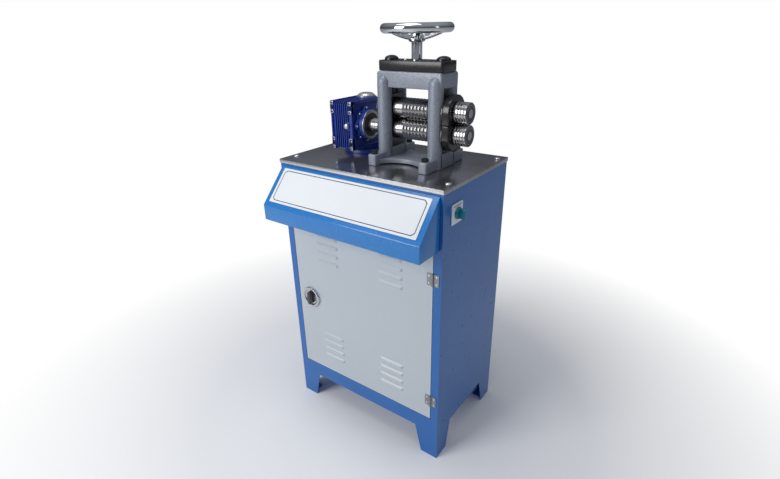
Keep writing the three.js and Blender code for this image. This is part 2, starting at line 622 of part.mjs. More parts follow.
// A round guard over each roll gear. The two halves meet flat between the rolls.
function gearCover(zAxis, side) {
  const start = flangeEnd + seatGap;
  const shell = cut(
    turned('x', [[start, 0], [start, cover.radius], [coverEnd - 4, cover.radius], [coverEnd, cover.radius - 4], [coverEnd, 0]], facets.large, [0, 0, zAxis]),
    rod('x', cover.radius - cover.wall - 4, start - 1, coverEnd - cover.wall, facets.large, [0, 0, zAxis]),
    rod('x', gearSeatR + runGap + 2, 0, 300, facets.medium, [0, 0, zAxis]),
  );
  const seam = side > 0 ? block(0, beyond, -beyond, beyond, -beyond, rollNip + seamHalf) : block(0, beyond, -beyond, beyond, rollNip - seamHalf, beyond);
  return cut(shell, seam);
}

// Screw-down train

const pinionR = (trainModule * teeth.pinion) / 2;
const idlerR = (trainModule * teeth.idler) / 2;
const screwGearR = (trainModule * teeth.screw) / 2;
const idlerX = screwX - screwGearR - idlerR; // the pinion meshes with both idlers
const trainBottom = head.beamTop + 2;
const trainTop = head.beamTop + caseHeight - caseTopWall - 1.5;

// Train gears have plain pointed teeth, deeper below the pitch line than above it
function trainGear(count, pitchR, boreR, z0, z1) {
  const outline = range(count * 2).map((i) => {
    const a = (i * Math.PI) / count;
    const r = i % 2 === 0 ? pitchR + trainModule * 0.85 : pitchR - trainModule * 1.2;
    return [r * Math.cos(a), r * Math.sin(a)];
  });
  const body = plate('z', outline, z0, z1);
  return boreR > 0 ? cut(body, rod('z', boreR, z0 - 1, z1 + 1, facets.small)) : body;
}

// A flat case with a round cap over each screw. It stands on the frame and is hollow for the train.
function screwdownCase() {
  const z0 = head.beamTop + seatGap;
  const z1 = head.beamTop + caseHeight;
  const wall = caseWall;
  const outside = plate('z', roundedOutline(-head.halfWidth, head.halfWidth, -caseHalfDepth, caseHalfDepth, 7), z0, z1, 4);
  const inX = head.halfWidth - wall;
  const inY = caseHalfDepth - wall;
  const hollow = plate('z', roundedOutline(-inX, inX, -inY, inY, 5), z0 - 1, z1 - caseTopWall, 3);
  const { radius, height } = capDome;
  const arc = [22, 45, 68].map((d) => (d * Math.PI) / 180).map((a) => [z1 + 2 + (height - 2) * Math.sin(a), radius * Math.cos(a)]);
  const cap = turned('z', [[z1 - 1, 0], [z1 - 1, radius], [z1 + 2, radius], ...arc, [z1 + height, 0]], facets.medium, [screwX, 0, 0]);
  return cut(join(outside, cap, mirrorX(cap)), hollow, rod('z', wheel.shaftR + runGap, z0, z1 + 1, facets.medium));
}

function pressureScrew(side) {
  const foot = upperZ + chock.halfHeight + 4 + seatGap;
  const top = trainBottom + trainWidth;
  const shaft = join(rod('z', screwR, foot, top, facets.medium), rod('z', chock.collarR, foot, foot + chock.collarHeight, facets.medium));
  const gear = trainGear(teeth.screw, screwGearR, 0, trainBottom, top);
  return join(shaft, gear).translate([side * screwX, 0, 0]);
}

function wheelShaft() {
  const z0 = head.beamTop - 11;
  return join(
    turned('z', [[z0, 0], [z0, wheel.shaftR * 0.6], [trainBottom, wheel.shaftR * 0.6], [trainBottom, wheel.shaftR - 1], [trainTop, wheel.shaftR - 1], [trainTop, wheel.shaftR], [wheel.hubBottom + 2, wheel.shaftR], [wheel.hubBottom + 2, 9], [wheel.hubBottom + 26, 9], [wheel.hubBottom + 26, 0]], facets.medium),
    trainGear(teeth.pinion, pinionR, 0, trainBottom, trainTop),
  );
}

function handwheel() {
  const { radius, rimR, centre, hubBottom, hubR, spokes } = wheel;
  const ringR = radius - rimR;
  const rim = solid(new THREE.TorusGeometry(ringR, rimR, 8, facets.rim)).translate([0, 0, centre]);
  const hub = turned('z', [[hubBottom, 0], [hubBottom, hubR - 5], [hubBottom + 4, hubR], [hubBottom + 16, hubR - 2], [hubBottom + 24, 15], [hubBottom + 32, 13], [hubBottom + 32, 0]], facets.medium);
  const curve = new THREE.CatmullRomCurve3([[12, hubBottom + 9], [32, hubBottom + 12], [62, centre - 14], [ringR - 4, centre - 3]].map(([r, z]) => new THREE.Vector3(r, 0, z)));
  const section = new THREE.Shape(range(6).map((i) => new THREE.Vector2(4.5 * Math.cos((i * Math.PI) / 3), 8 * Math.sin((i * Math.PI) / 3))));
  const spoke = solid(new THREE.ExtrudeGeometry(section, { steps: 4, extrudePath: curve, bevelEnabled: false }));
  const arms = range(spokes).map((i) => spoke.rotate([0, 0, 90 + (i * 360) / spokes]));
  const bore = rod('z', 9 + seatGap, hubBottom + 2 + seatGap, hubBottom + 60, facets.medium);
  const seat = rod('z', wheel.shaftR + seatGap, hubBottom - 1, hubBottom + 2 + seatGap, facets.medium);
  return cut(join(rim, hub, arms), bore, seat);
}

const halfTooth = Math.PI / rollGear.teeth;
const place = (body, z) => body.translate([0, 0, z]);
headGroup.add(
  mesh('mill_frame', millFrame(), hammerGrey),
  mesh('mill_bolt_front_left', lugBolt(0), blackPaint),
  mesh('mill_bolt_front_right', lugBolt(1), blackPaint),
  mesh('mill_bolt_rear_left', lugBolt(2), blackPaint),
  mesh('mill_bolt_rear_right', lugBolt(3), blackPaint),
  mesh('lower_bearing_block_left', mirrorX(bearingBlock(lowerZ, -1)), blackPaint),
  mesh('lower_bearing_block_right', bearingBlock(lowerZ, -1), blackPaint),
  mesh('upper_bearing_block_left', mirrorX(bearingBlock(upperZ, 1)), blackPaint),
  mesh('upper_bearing_block_right', bearingBlock(upperZ, 1), blackPaint),
  mesh('lower_roll', place(roll(-head.halfWidth - 26), lowerZ), brightSteel),
  mesh('upper_roll', place(roll(-head.halfWidth - 8), upperZ), brightSteel),
  mesh('lower_roll_gear', place(rollGearBody(Math.PI / 2), lowerZ), darkSteel),
  mesh('upper_roll_gear', place(rollGearBody(-Math.PI / 2 + halfTooth), upperZ), darkSteel),
  mesh('lower_gear_cover', gearCover(lowerZ, -1), blackPaint),
  mesh('upper_gear_cover', gearCover(upperZ, 1), blackPaint),
  mesh('lower_extension_roll', place(extensionRoll(), lowerZ), brightSteel),
  mesh('upper_extension_roll', place(extensionRoll(), upperZ), brightSteel),
  mesh('screwdown_case', screwdownCase(), blackPaint),
  mesh('pressure_screw_left', pressureScrew(-1), darkSteel),
  mesh('pressure_screw_right', pressureScrew(1), darkSteel),
  mesh('idler_gear_left', trainGear(teeth.idler, idlerR, idlerPinR + runGap, trainBottom, trainTop).translate([-idlerX, 0, 0]), darkSteel),
  mesh('idler_gear_right', trainGear(teeth.idler, idlerR, idlerPinR + runGap, trainBottom, trainTop).translate([idlerX, 0, 0]), darkSteel),
  mesh('handwheel_shaft', wheelShaft(), brightSteel),
  mesh('handwheel', handwheel(), chrome),
);
machine.add(headGroup);

// Worm gearbox: measured from where the roll's axis crosses the box's middle

const gearboxGroup = new THREE.Group();
gearboxGroup.position.set(gearboxX, 0, tableHeight + lowerZ);
const boxHalf = box.width / 2;

function gearboxHousing() {
  const { front, rear, halfHeight, wall, recess } = box;
  const core = block(-boxHalf + 3, boxHalf - 3, -front + recess, rear - recess, -halfHeight + recess, halfHeight - recess);
  const wormBarrel = rod('z', 34, -halfHeight, halfHeight, facets.large, [0, centreDistance, 0]);
  const cornerPad = cut(
    block(boxHalf - pad.width, boxHalf, -front, -front + recess + 10, halfHeight - pad.height, halfHeight),
    rod('y', pad.holeR, -front - 1, -front + recess + 11, facets.small, [boxHalf - pad.width / 2, 0, halfHeight - pad.height / 2]),
  );
  const rearPad = cornerPad.mirror([0, 1, 0]).translate([0, rear - front, 0]);
  const pads = [cornerPad, rearPad].flatMap((p) => [p, mirrorX(p), p.mirror([0, 0, 1]), mirrorX(p.mirror([0, 0, 1]))]);
  const pitch = (box.width - 2 * pad.width) / fins.count;
  const finX = range(fins.count).map((i) => -boxHalf + pad.width + pitch * (i + 0.5));
  const faceFins = finX.map((x) => block(x - fins.width / 2, x + fins.width / 2, -front + 1.5, -front + recess + 1, -halfHeight + 6, halfHeight - 6));
  const topFins = finX.map((x) => block(x - fins.width / 2, x + fins.width / 2, -front + recess, rear - 50, halfHeight - recess - 1, halfHeight - 2));
  const endFlange = join(
    block(boxHalf - 5, boxHalf, -front + 2, rear - 2, -halfHeight, -halfHeight + 9),
    block(boxHalf - 5, boxHalf, -front + 2, rear - 2, halfHeight - 9, halfHeight),
    block(boxHalf - 5, boxHalf, -front + 2, -front + 12, -halfHeight, halfHeight),
    block(boxHalf - 5, boxHalf, rear - 12, rear - 2, -halfHeight, halfHeight),
  );
  const castSeat = turned('x', [[-boxHalf - 12, 0], [-boxHalf - 12, coverFlange.ringR], [-boxHalf + 6, coverFlange.ringR], [-boxHalf + 6, 0]], facets.large);
  const body = join(core, castSeat, wormBarrel, pads, faceFins, topFins, endFlange, mirrorX(endFlange));
  const wheelRoom = rod('x', wormWheel.module * wormWheel.teeth / 2 + wormWheel.module + 2.5, -boxHalf + wall + 3, boxHalf - wall - 3, facets.large);
  const outputBore = join(rod('x', couplingR + runGap, -100, 100, facets.medium), rod('x', couplingR + 8, -boxHalf + 8, 100, facets.medium));
  const wormRoom = rod('z', worm.outerR + 3, -halfHeight + 8, halfHeight - 8, facets.medium, [0, centreDistance, 0]);
  const wormBore = rod('z', 15, -halfHeight - 1, halfHeight + 1, facets.medium, [0, centreDistance, 0]);
  return cut(body, wheelRoom, outputBore, wormRoom, wormBore);
}

// Flanged cover with eight bolt lobes and a machined ring round the output
function outputCover() {
  const { lobes, lobeR, ringR, neck, seat, recessR } = coverFlange;
  const star = range(lobes * 4).map((i) => {
    const a = (i * Math.PI) / (lobes * 2) + Math.PI / 2;
    const r = [lobeR, lobeR - 3, ringR + 2, lobeR - 3][i % 4];
    return [r * Math.cos(a), r * Math.sin(a)];
  });
  const x0 = boxHalf + seatGap;
  const body = join(plate('x', star, x0, x0 + seat), turned('x', [[x0, 0], [x0, ringR], [x0 + neck - 1.5, ringR], [x0 + neck, ringR - 1.5], [x0 + neck, 0]], facets.large));
  return cut(body, rod('x', recessR, x0 + neck - 5, x0 + neck + 1, facets.large), rod('x', couplingR + runGap, 0, 300, facets.medium));
}

function wormWheelBody() {
  const pitchR = (wormWheel.module * wormWheel.teeth) / 2;
  const outline = gearOutline(wormWheel.teeth, pitchR, wormWheel.module * 0.75, wormWheel.module * 1.2, 0.34, 0);
  const body = plate('x', outline, -wormWheel.width / 2, wormWheel.width / 2);
  const hub = rod('x', couplingR + 6, -boxHalf + 12, boxHalf - 12, facets.medium);
  return cut(join(body, hub), rod('x', couplingR + seatGap, -100, 100, facets.medium));
}

// A single-start thread on the worm, which passes the wheel's teeth with room on both flanks
function wormThread() {
  const lead = Math.PI * wormWheel.module;
  const steps = worm.turns * worm.stepsPerTurn;
  const section = [[worm.rootR - 1, -2.5], [worm.outerR, -0.9], [worm.outerR, 0.9], [worm.rootR - 1, 2.5]];
  const position = [];
  for (let i = 0; i <= steps; i += 1) {
    const a = (2 * Math.PI * worm.turns * i) / steps - worm.turns * Math.PI - Math.PI / 2;
    const z = (lead * worm.turns * i) / steps - (lead * worm.turns) / 2 + lead / 2;
    for (const [r, dz] of section) position.push(r * Math.cos(a), r * Math.sin(a), z + dz);
  }
  const index = [];
  const n = section.length;
  for (let i = 0; i < steps; i += 1) {
    for (let j = 0; j < n; j += 1) {
      const [p, q] = [i * n + j, i * n + ((j + 1) % n)];
      index.push(p, q + n, q, p, p + n, q + n);
    }
  }
  const last = steps * n;
  index.push(0, 1, 2, 0, 2, 3, last, last + 2, last + 1, last, last + 3, last + 2);
  const geometry = new THREE.BufferGeometry();
  geometry.setAttribute('position', new THREE.Float32BufferAttribute(position, 3));
  geometry.setIndex(index);
  return solid(geometry);
}

function wormShaft() {
  const end = box.halfHeight - 6;
  const core = turned('z', [[-end, 0], [-end, 13], [-worm.length / 2 - 6, 13], [-worm.length / 2 - 4, worm.rootR], [worm.length / 2 + 4, worm.rootR], [worm.length / 2 + 6, 13], [end, 13], [end, 0]], facets.medium);
  const socket = rod('z', motorShaftR + seatGap, -end - 1, -end + 32, facets.medium);
  return cut(join(core, wormThread()), socket).translate([0, centreDistance, 0]);
}

function couplingSleeve() {
  const mouth = -head.halfWidth + headX - gearboxX - 7; // short of the mill frame
  return cut(
    turned('x', [[-boxHalf - 6, 0], [-boxHalf - 6, couplingR], [mouth - 2, couplingR], [mouth, couplingR - 2], [mouth, 0]], facets.medium),
    rod('x', gearSeatR + seatGap, mouth - 24, mouth + 1, facets.medium),
  );
}

function oilPlug() {
  const y = -box.front + box.recess - seatGap;
  const body = solid(new THREE.CylinderGeometry(9, 9, 8, 6).translate(0, y - 4, 0));
  return join(body, turned('y', [[y - 7, 0], [y - 7, 6.5], [y - 11, 5.5], [y - 11, 0]].reverse(), facets.small)).translate([20, 0, 0]);
}

function wormCap() {
  const z0 = box.halfHeight + seatGap;
  return turned('z', [[z0, 0], [z0, 33], [z0 + 5, 33], [z0 + 7, 28], [z0 + 12, 20], [z0 + 12, 0]], facets.large, [0, centreDistance, 0]);
}

function gearboxInputFlange() {
  const z1 = -box.halfHeight - seatGap;
  const z0 = -lowerZ + seatGap;
  const { radius, thickness, neckR } = inputFlange;
  return cut(
    turned('z', [[z0, 0], [z0, radius], [z0 + thickness, radius], [z0 + thickness, neckR], [z1, neckR], [z1, 0]], facets.large, [0, centreDistance, 0]),
    rod('z', 15, z0 - 1, z1 + 1, facets.medium, [0, centreDistance, 0]),
  );
}

const plugWell = block(20 - 10.5, 20 + 10.5, -box.front - 1, -box.front + box.recess, -10.5, 10.5);
gearboxGroup.add(
  mesh('gearbox_housing', cut(gearboxHousing(), plugWell), gearboxBlue),
  mesh('output_cover', outputCover(), gearboxBlue),
  mesh('worm_wheel', wormWheelBody(), bronze),
  mesh('worm_shaft', wormShaft(), darkSteel),
  mesh('output_coupling', couplingSleeve(), brightSteel),
  mesh('oil_plug', oilPlug(), bareAluminium),
  mesh('worm_cap', wormCap(), bareAluminium),
  mesh('input_flange', gearboxInputFlange(), gearboxBlue),
);
machine.add(gearboxGroup);

// Motor, hung under the table on the worm's axis. Its own z is 0 at the table's underside.

const motorGroup = new THREE.Group();
motorGroup.position.set(gearboxX, centreDistance, underTable);
const motorTop = -motor.flangeThickness - seatGap;
const motorBottom = motorTop - motor.length;
const cowlBottom = motorBottom - motorCowl.length;

function motorStator() {
  const outline = gearOutline(motor.fins, motor.radius, motor.finHeight, 0, 0.3, -Math.PI / 2);
  const body = plate('z', outline, motorBottom, motorTop - seatGap);
  return cut(body, rod('z', motor.boreR, motorBottom + 12, motorTop, facets.large), rod('z', motorShaftR + runGap + 8, motorBottom - 1, motorBottom + 20, facets.medium));
}

function motorEndFlange() {
  return cut(
    turned('z', [[motorTop, 0], [motorTop, motor.flangeR], [-seatGap, motor.flangeR], [-seatGap, 0]], facets.large),
    rod('z', motorShaftR + runGap, -40, 10, facets.medium),
  );
}

function motorRotor() {
  const socketEnd = tableThickness + (lowerZ - box.halfHeight) + 6 + 30;
  const stackTop = motorTop - 22;
  const stackBottom = motorBottom + 30;
  return turned('z', [
    [motorBottom - 34, 0], [motorBottom - 34, motorShaftR], [stackBottom, motorShaftR], [stackBottom, motor.boreR - 1.5],
    [stackTop, motor.boreR - 1.5], [stackTop, motorShaftR], [socketEnd, motorShaftR], [socketEnd, 0],
  ], facets.medium);
}

function motorFan() {
  const z0 = motorBottom - 28;
  const disc = rod('z', 48, z0, z0 + 3, facets.medium);
  const blade = block(14, 54, -1, 1, z0 + 1, z0 + 19);
  const hub = rod('z', 20, z0, z0 + 18, facets.medium);
  const blades = range(7).map((i) => blade.rotate([0, 0, (i * 360) / 7]));
  return cut(join(disc, hub, blades), rod('z', motorShaftR + seatGap, z0 - 1, z0 + 40, facets.medium));
}

function fanCowl() {
  const outer = motor.radius + motor.finHeight + motorCowl.wall + motorCowl.play;
  const shell = cut(
    turned('z', [[cowlBottom, 0], [cowlBottom, outer - 14], [cowlBottom + 12, outer], [motorBottom + 14, outer], [motorBottom + 14, 0]], facets.large),
    turned('z', [[cowlBottom + 2, 0], [cowlBottom + 2, outer - 15], [cowlBottom + 13, outer - motorCowl.wall], [motorBottom + 20, outer - motorCowl.wall], [motorBottom + 20, 0]], facets.large),
  );
  const slot = block(14, 56, -3, 3, cowlBottom - 1, cowlBottom + 5);
  return cut(shell, range(8).map((i) => slot.rotate([0, 0, i * 45])));
}

function terminalBox() {
  const y = -motor.radius - motor.finHeight - seatGap;
  const { width, height, depth, fromFlange } = terminals;
  const high = motorTop - fromFlange;
  return plate('y', roundedOutline(-width / 2, width / 2, high - height, high, 6), y - depth, y, 3);
}

motorGroup.add(
  mesh('motor_stator', motorStator(), motorGrey),
  mesh('motor_flange', motorEndFlange(), motorGrey),
  mesh('motor_rotor', motorRotor(), darkSteel),
  mesh('motor_fan', motorFan(), darkPlastic),
  mesh('motor_fan_cowl', fanCowl(), motorGrey),
  mesh('motor_terminal_box', terminalBox(), motorGrey),
);
machine.add(motorGroup);

// The origin is on the floor under the middle of the machine's overall box
machine.updateMatrixWorld(true);
const extent = new THREE.Box3().setFromObject(machine);
const middle = extent.getCenter(new THREE.Vector3());
machine.position.set(-middle.x, -middle.y, 0);
machine.updateMatrixWorld(true);

export default machine;
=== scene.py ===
# %% [markdown]
# # A motor-driven rolling mill
#
# A jewellers' mill stands on a steel cabinet. A motor inside turns the lower roll through a worm gearbox, and
# a handwheel sets the gap between the rolls.
#
# The CAD frame gives this scene its moving bodies. Most of what the camera sees is built here again with
# finer curves and softened edges, at the same place and size, and rides on the same body.
#
# The order is: measurements, mesh tools, materials, the table and cabinet, the mill head, the gearbox, and
# last the camera and the light.

# %% Load the frame
import bpy
import bmesh
import json
import math
from mathutils import Matrix, Vector


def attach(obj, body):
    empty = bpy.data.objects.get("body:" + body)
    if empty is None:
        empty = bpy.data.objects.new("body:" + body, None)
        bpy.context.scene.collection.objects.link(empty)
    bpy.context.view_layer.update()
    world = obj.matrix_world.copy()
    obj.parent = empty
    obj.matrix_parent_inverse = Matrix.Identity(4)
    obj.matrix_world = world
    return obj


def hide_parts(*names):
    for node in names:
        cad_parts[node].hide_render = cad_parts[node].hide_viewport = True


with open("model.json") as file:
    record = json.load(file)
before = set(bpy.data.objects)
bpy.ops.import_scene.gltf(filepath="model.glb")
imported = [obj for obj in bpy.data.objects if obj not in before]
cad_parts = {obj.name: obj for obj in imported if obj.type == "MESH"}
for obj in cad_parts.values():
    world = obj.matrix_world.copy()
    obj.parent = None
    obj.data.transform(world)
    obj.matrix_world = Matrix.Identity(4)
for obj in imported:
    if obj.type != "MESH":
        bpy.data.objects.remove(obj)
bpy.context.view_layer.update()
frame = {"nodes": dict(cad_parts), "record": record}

# %% [markdown]
# Lengths below are millimetres, measured from the middle of the table at floor level, as in the CAD source.
# One function turns such a point into the frame's metres, and each piece calls it once.

# %% Measurements
SHIFT = Vector((-12.8, 37.5, 0.0))  # puts the table's middle at its place in the frame
TABLE_TOP = 922.0
HEAD_X = 89.0  # middle of the mill head
LOWER_Z = TABLE_TOP + 96.0  # axis of the lower roll
UPPER_Z = TABLE_TOP + 156.5
NIP_Z = TABLE_TOP + 126.25  # halfway between the two axes
FRONT_Y = -194.0  # front of the cabinet
SIDE_X = 297.0  # right side of the cabinet
BOX_X = -145.5  # middle of the gearbox
BOX_HALF = 42.5  # half its width


def metres(point):
    return (Vector(point) + SHIFT) / 1000.0


# %% [markdown]
# ## Mesh tools
#
# Three ways of making a form cover the whole machine: a profile turned about an axis, an outline given a
# thickness, and a section carried along a path. They are what a lathe, a saw and a bender would do to the
# real metal. Each returns a bmesh in millimetres.

# %% Turned profiles
AXES = {"x": Vector((1, 0, 0)), "y": Vector((0, 1, 0)), "z": Vector((0, 0, 1))}


def across(axis):
    """Two directions that make a right-handed set with the axis."""
    first = {"x": Vector((0, 1, 0)), "y": Vector((0, 0, 1)), "z": Vector((1, 0, 0))}[axis]
    return first, AXES[axis].cross(first)


def turned(axis, profile, centre, sides=96):
    """profile is [(distance along the axis, radius)], starting and ending on the axis."""
    bm = bmesh.new()
    u, v = across(axis)
    rings = []
    for along, radius in profile:
        middle = Vector(centre) + AXES[axis] * along
        if radius <= 0:
            rings.append([bm.verts.new(middle)])
            continue
        angles = [2 * math.pi * i / sides for i in range(sides)]
        rings.append([bm.verts.new(middle + radius * (math.cos(a) * u + math.sin(a) * v)) for a in angles])
    for near, far in zip(rings, rings[1:]):
        for i in range(sides):
            j = (i + 1) % sides
            corners = [near[i % len(near)], near[j % len(near)], far[j % len(far)], far[i % len(far)]]
            unique = list(dict.fromkeys(corners))
            if len(unique) > 2:
                bm.faces.new(unique)
    bmesh.ops.recalc_face_normals(bm, faces=bm.faces)
    return bm


# %% Plates and blocks with softened edges
def soften(bm, width, steps=3, angle=35):
    """Rounds every edge sharper than the angle."""
    limit = math.radians(angle)
    edges = [e for e in bm.edges if len(e.link_faces) == 2 and e.calc_face_angle(0) > limit]
    bmesh.ops.bevel(bm, geom=edges, offset=width, segments=steps, profile=0.5, affect="EDGES",
                    clamp_overlap=True)
    return bm


def plate(axis, outline, low, high, bevel=0.0, steps=3):
    """outline is drawn in y,z across x, in x,z across y, and in x,y across z."""
    bm = bmesh.new()
    place = {
        "x": lambda a, b, t: (t, a, b),
        "y": lambda a, b, t: (a, t, b),
        "z": lambda a, b, t: (a, b, t),
    }[axis]
    face = bm.faces.new([bm.verts.new(place(a, b, low)) for a, b in outline])
    grown = bmesh.ops.extrude_face_region(bm, geom=[face])
    moved = [g for g in grown["geom"] if isinstance(g, bmesh.types.BMVert)]
    bmesh.ops.translate(bm, verts=moved, vec=AXES[axis] * (high - low))
    bmesh.ops.recalc_face_normals(bm, faces=bm.faces)
    return soften(bm, bevel, steps, 20) if bevel else bm


def block(x, y, z, bevel=0.0, steps=3):
    bm = plate("z", [(x[0], y[0]), (x[1], y[0]), (x[1], y[1]), (x[0], y[1])], z[0], z[1])
    return soften(bm, bevel, steps) if bevel else bm


# %% Sections carried along a path
def swept(path, section, closed=False):
    """Carries a flat section along a path of points. The section's x stays level."""
    bm = bmesh.new()
    rings = []
    count = len(path)
    for i, point in enumerate(path):
        before = path[i - 1] if closed or i else path[0]
        after = path[(i + 1) % count] if closed or i < count - 1 else path[-1]
        along = (Vector(after) - Vector(before)).normalized()
        side = along.cross(Vector((0, 0, 1))).normalized()
        up = side.cross(along)
        rings.append([bm.verts.new(Vector(point) + side * a + up * b) for a, b in section])
    pairs = list(zip(rings, rings[1:])) + ([(rings[-1], rings[0])] if closed else [])
    n = len(section)
    for near, far in pairs:
        for i in range(n):
            bm.faces.new([near[i], near[(i + 1) % n], far[(i + 1) % n], far[i]])
    if not closed:
        bm.faces.new(rings[0])
        bm.faces.new(rings[-1])
    bmesh.ops.recalc_face_normals(bm, faces=bm.faces)
    return bm


# %% Outlines and mirrored copies
def rounded(x0, x1, y0, y1, r, steps=8):
    points = []
    corners = [(x1 - r, y0 + r, -90), (x1 - r, y1 - r, 0), (x0 + r, y1 - r, 90), (x0 + r, y0 + r, 180)]
    for cx, cy, start in corners:
        for i in range(steps + 1):
            a = math.radians(start + 90 * i / steps)
            points.append((cx + r * math.cos(a), cy + r * math.sin(a)))
    return points


def circle(radius, sides, squash=1.0):
    angles = [2 * math.pi * i / sides for i in range(sides)]
    return [(radius * math.cos(a), radius * squash * math.sin(a)) for a in angles]


def mirrored(bm, axis, about=0.0):
    copy = bm.copy()
    scale = Vector((1, 1, 1)) - 2 * AXES[axis]
    bmesh.ops.scale(copy, vec=scale, verts=copy.verts)
    bmesh.ops.translate(copy, vec=AXES[axis] * 2 * about, verts=copy.verts)
    bmesh.ops.reverse_faces(copy, faces=copy.faces)
    return copy


def both_sides(bms, axis, about=0.0):
    return bms + [mirrored(bm, axis, about) for bm in bms]


# %% [markdown]
# A piece is one mesh object at the origin. Its place is in its vertices, it rides on a body, it hides the CAD
# nodes it stands for, and it takes one finish.

# %% Turn forms into pieces
PIECES = []


def piece(name, forms, material, body="stand", stands_for=(), flat=False):
    mesh = bpy.data.meshes.new(name)
    whole = bmesh.new()
    for form in forms:
        part = bpy.data.meshes.new("part")
        form.to_mesh(part)
        form.free()
        whole.from_mesh(part)
        bpy.data.meshes.remove(part)
    bmesh.ops.translate(whole, vec=SHIFT, verts=whole.verts)
    bmesh.ops.scale(whole, vec=(0.001, 0.001, 0.001), verts=whole.verts)
    whole.to_mesh(mesh)
    whole.free()
    return settle(name, mesh, material, body, stands_for, flat)


def settle(name, mesh, material, body, stands_for, flat=False):
    for polygon in mesh.polygons:
        polygon.use_smooth = not flat
    mesh.set_sharp_from_angle(angle=math.radians(32))
    mesh.materials.clear()
    mesh.materials.append(material)
    made = bpy.data.objects.new(name, mesh)
    bpy.context.scene.collection.objects.link(made)
    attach(made, body)
    if stands_for:
        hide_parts(*stands_for)
    PIECES.append(made)
    return made


# %% [markdown]
# ## Materials
#
# Shader maths reads like sums: a small class wraps a socket and overloads the operators. Any other node goes
# through one method that takes its type, its settings and its socket values.

# %% Write shader maths as sums


class Value:
    def __init__(self, shader, socket):
        self.shader = shader
        self.socket = socket

    def join(self, operation, other, swapped=False):
        pair = (other, self) if swapped else (self, other)
        return self.shader.node("ShaderNodeMath", {"operation": operation}, {0: pair[0], 1: pair[1]}).out(0)

    def __add__(self, other):
        return self.join("ADD", other)

    def __radd__(self, other):
        return self.join("ADD", other, True)

    def __sub__(self, other):
        return self.join("SUBTRACT", other)

    def __mul__(self, other):
        return self.join("MULTIPLY", other)

    def __pow__(self, other):
        return self.join("POWER", other)

    def clamp(self, low, high):
        return self.join("MAXIMUM", low).join("MINIMUM", high)


class Node:
    def __init__(self, shader, node):
        self.shader = shader
        self.node = node

    def out(self, name):
        return Value(self.shader, self.node.outputs[name])


class Shader:
    def __init__(self, name):
        self.material = bpy.data.materials.new(name)
        self.material.use_nodes = True
        self.tree = self.material.node_tree
        self.tree.nodes.clear()
        self.coords = self.node("ShaderNodeTexCoord").out("Object")

    def node(self, kind, settings=None, values=None):
        made = self.tree.nodes.new(kind)
        for key, value in (settings or {}).items():
            setattr(made, key, value)
        for key, value in (values or {}).items():
            if isinstance(value, Value):
                self.tree.links.new(value.socket, made.inputs[key])
            else:
                made.inputs[key].default_value = value
        return Node(self, made)

    def stretched(self, scale):
        return self.node("ShaderNodeMapping", {}, {"Vector": self.coords, "Scale": scale}).out("Vector")

    def noise(self, scale, detail=4.0, vector=None, roughness=0.55):
        values = {"Vector": vector or self.coords, "Scale": scale, "Detail": detail, "Roughness": roughness}
        return self.node("ShaderNodeTexNoise", {}, values).out(0)

    def cells(self, scale):
        values = {"Vector": self.coords, "Scale": scale}
        return self.node("ShaderNodeTexVoronoi", {"feature": "SMOOTH_F1"}, values).out("Distance")

    def mix(self, factor, first, second):
        made = self.node("ShaderNodeMix", {"data_type": "RGBA"}, {0: factor})
        for index, colour in ((6, first), (7, second)):
            if isinstance(colour, Value):
                self.tree.links.new(colour.socket, made.node.inputs[index])
            else:
                made.node.inputs[index].default_value = (*colour, 1.0)
        return Value(self, made.node.outputs[2])

    def bump(self, height, strength, distance):
        values = {"Height": height, "Strength": strength, "Distance": distance}
        return self.node("ShaderNodeBump", {}, values).out("Normal")

    def finish(self, **values):
        names = {"colour": "Base Color", "rough": "Roughness", "metal": "Metallic", "normal": "Normal",
                 "coat": "Coat Weight", "coat_rough": "Coat Roughness"}
        surface = self.node("ShaderNodeBsdfPrincipled", {}, {names[k]: v for k, v in values.items()})
        self.node("ShaderNodeOutputMaterial", {}, {"Surface": surface.out("BSDF")})
        return self.material


def shade(colour, factor):
    return tuple(min(1.0, c * factor) for c in colour)


# %% [markdown]
# The paints share one recipe. A slow noise shifts the tone, a finer one the gloss, and a very fine one gives
# the skin of sprayed enamel. Hammer finish takes its height from smooth cells, which dimple it like the real
# paint. Tool marks on bare metal are a noise that is stretched along them.

# %% Paints, bare metal and plastic
def enamel(name, colour, rough=0.3, peel=0.12, grime=0.05):
    s = Shader(name)
    slow = s.noise(5.0, 5.0)
    dust = s.noise(38.0, 8.0, roughness=0.7)
    tone = s.mix(slow.clamp(0.3, 0.7), shade(colour, 1.0 - grime), shade(colour, 1.0 + grime * 0.6))
    tone = s.mix(((dust - 0.58) * 2.0).clamp(0.0, 0.12), tone, shade(colour, 0.75))
    skin = s.noise(650.0, 2.0)
    normal = s.bump(skin, peel, 0.0004)
    return s.finish(colour=tone, rough=rough + (dust - 0.5) * 0.18, normal=normal, coat=0.2, coat_rough=0.15)


def hammertone(name, colour):
    s = Shader(name)
    cell = s.cells(210.0)
    tone = s.mix((cell * 1.5).clamp(0.0, 1.0), shade(colour, 1.12), shade(colour, 0.82))
    tone = s.mix((s.noise(7.0, 6.0) - 0.35).clamp(0.0, 0.35), tone, shade(colour, 0.62))
    normal = s.bump(cell, 0.35, 0.0007)
    rough = 0.36 + cell * 0.2
    return s.finish(colour=tone, rough=rough, metal=0.25, normal=normal, coat=0.25, coat_rough=0.2)


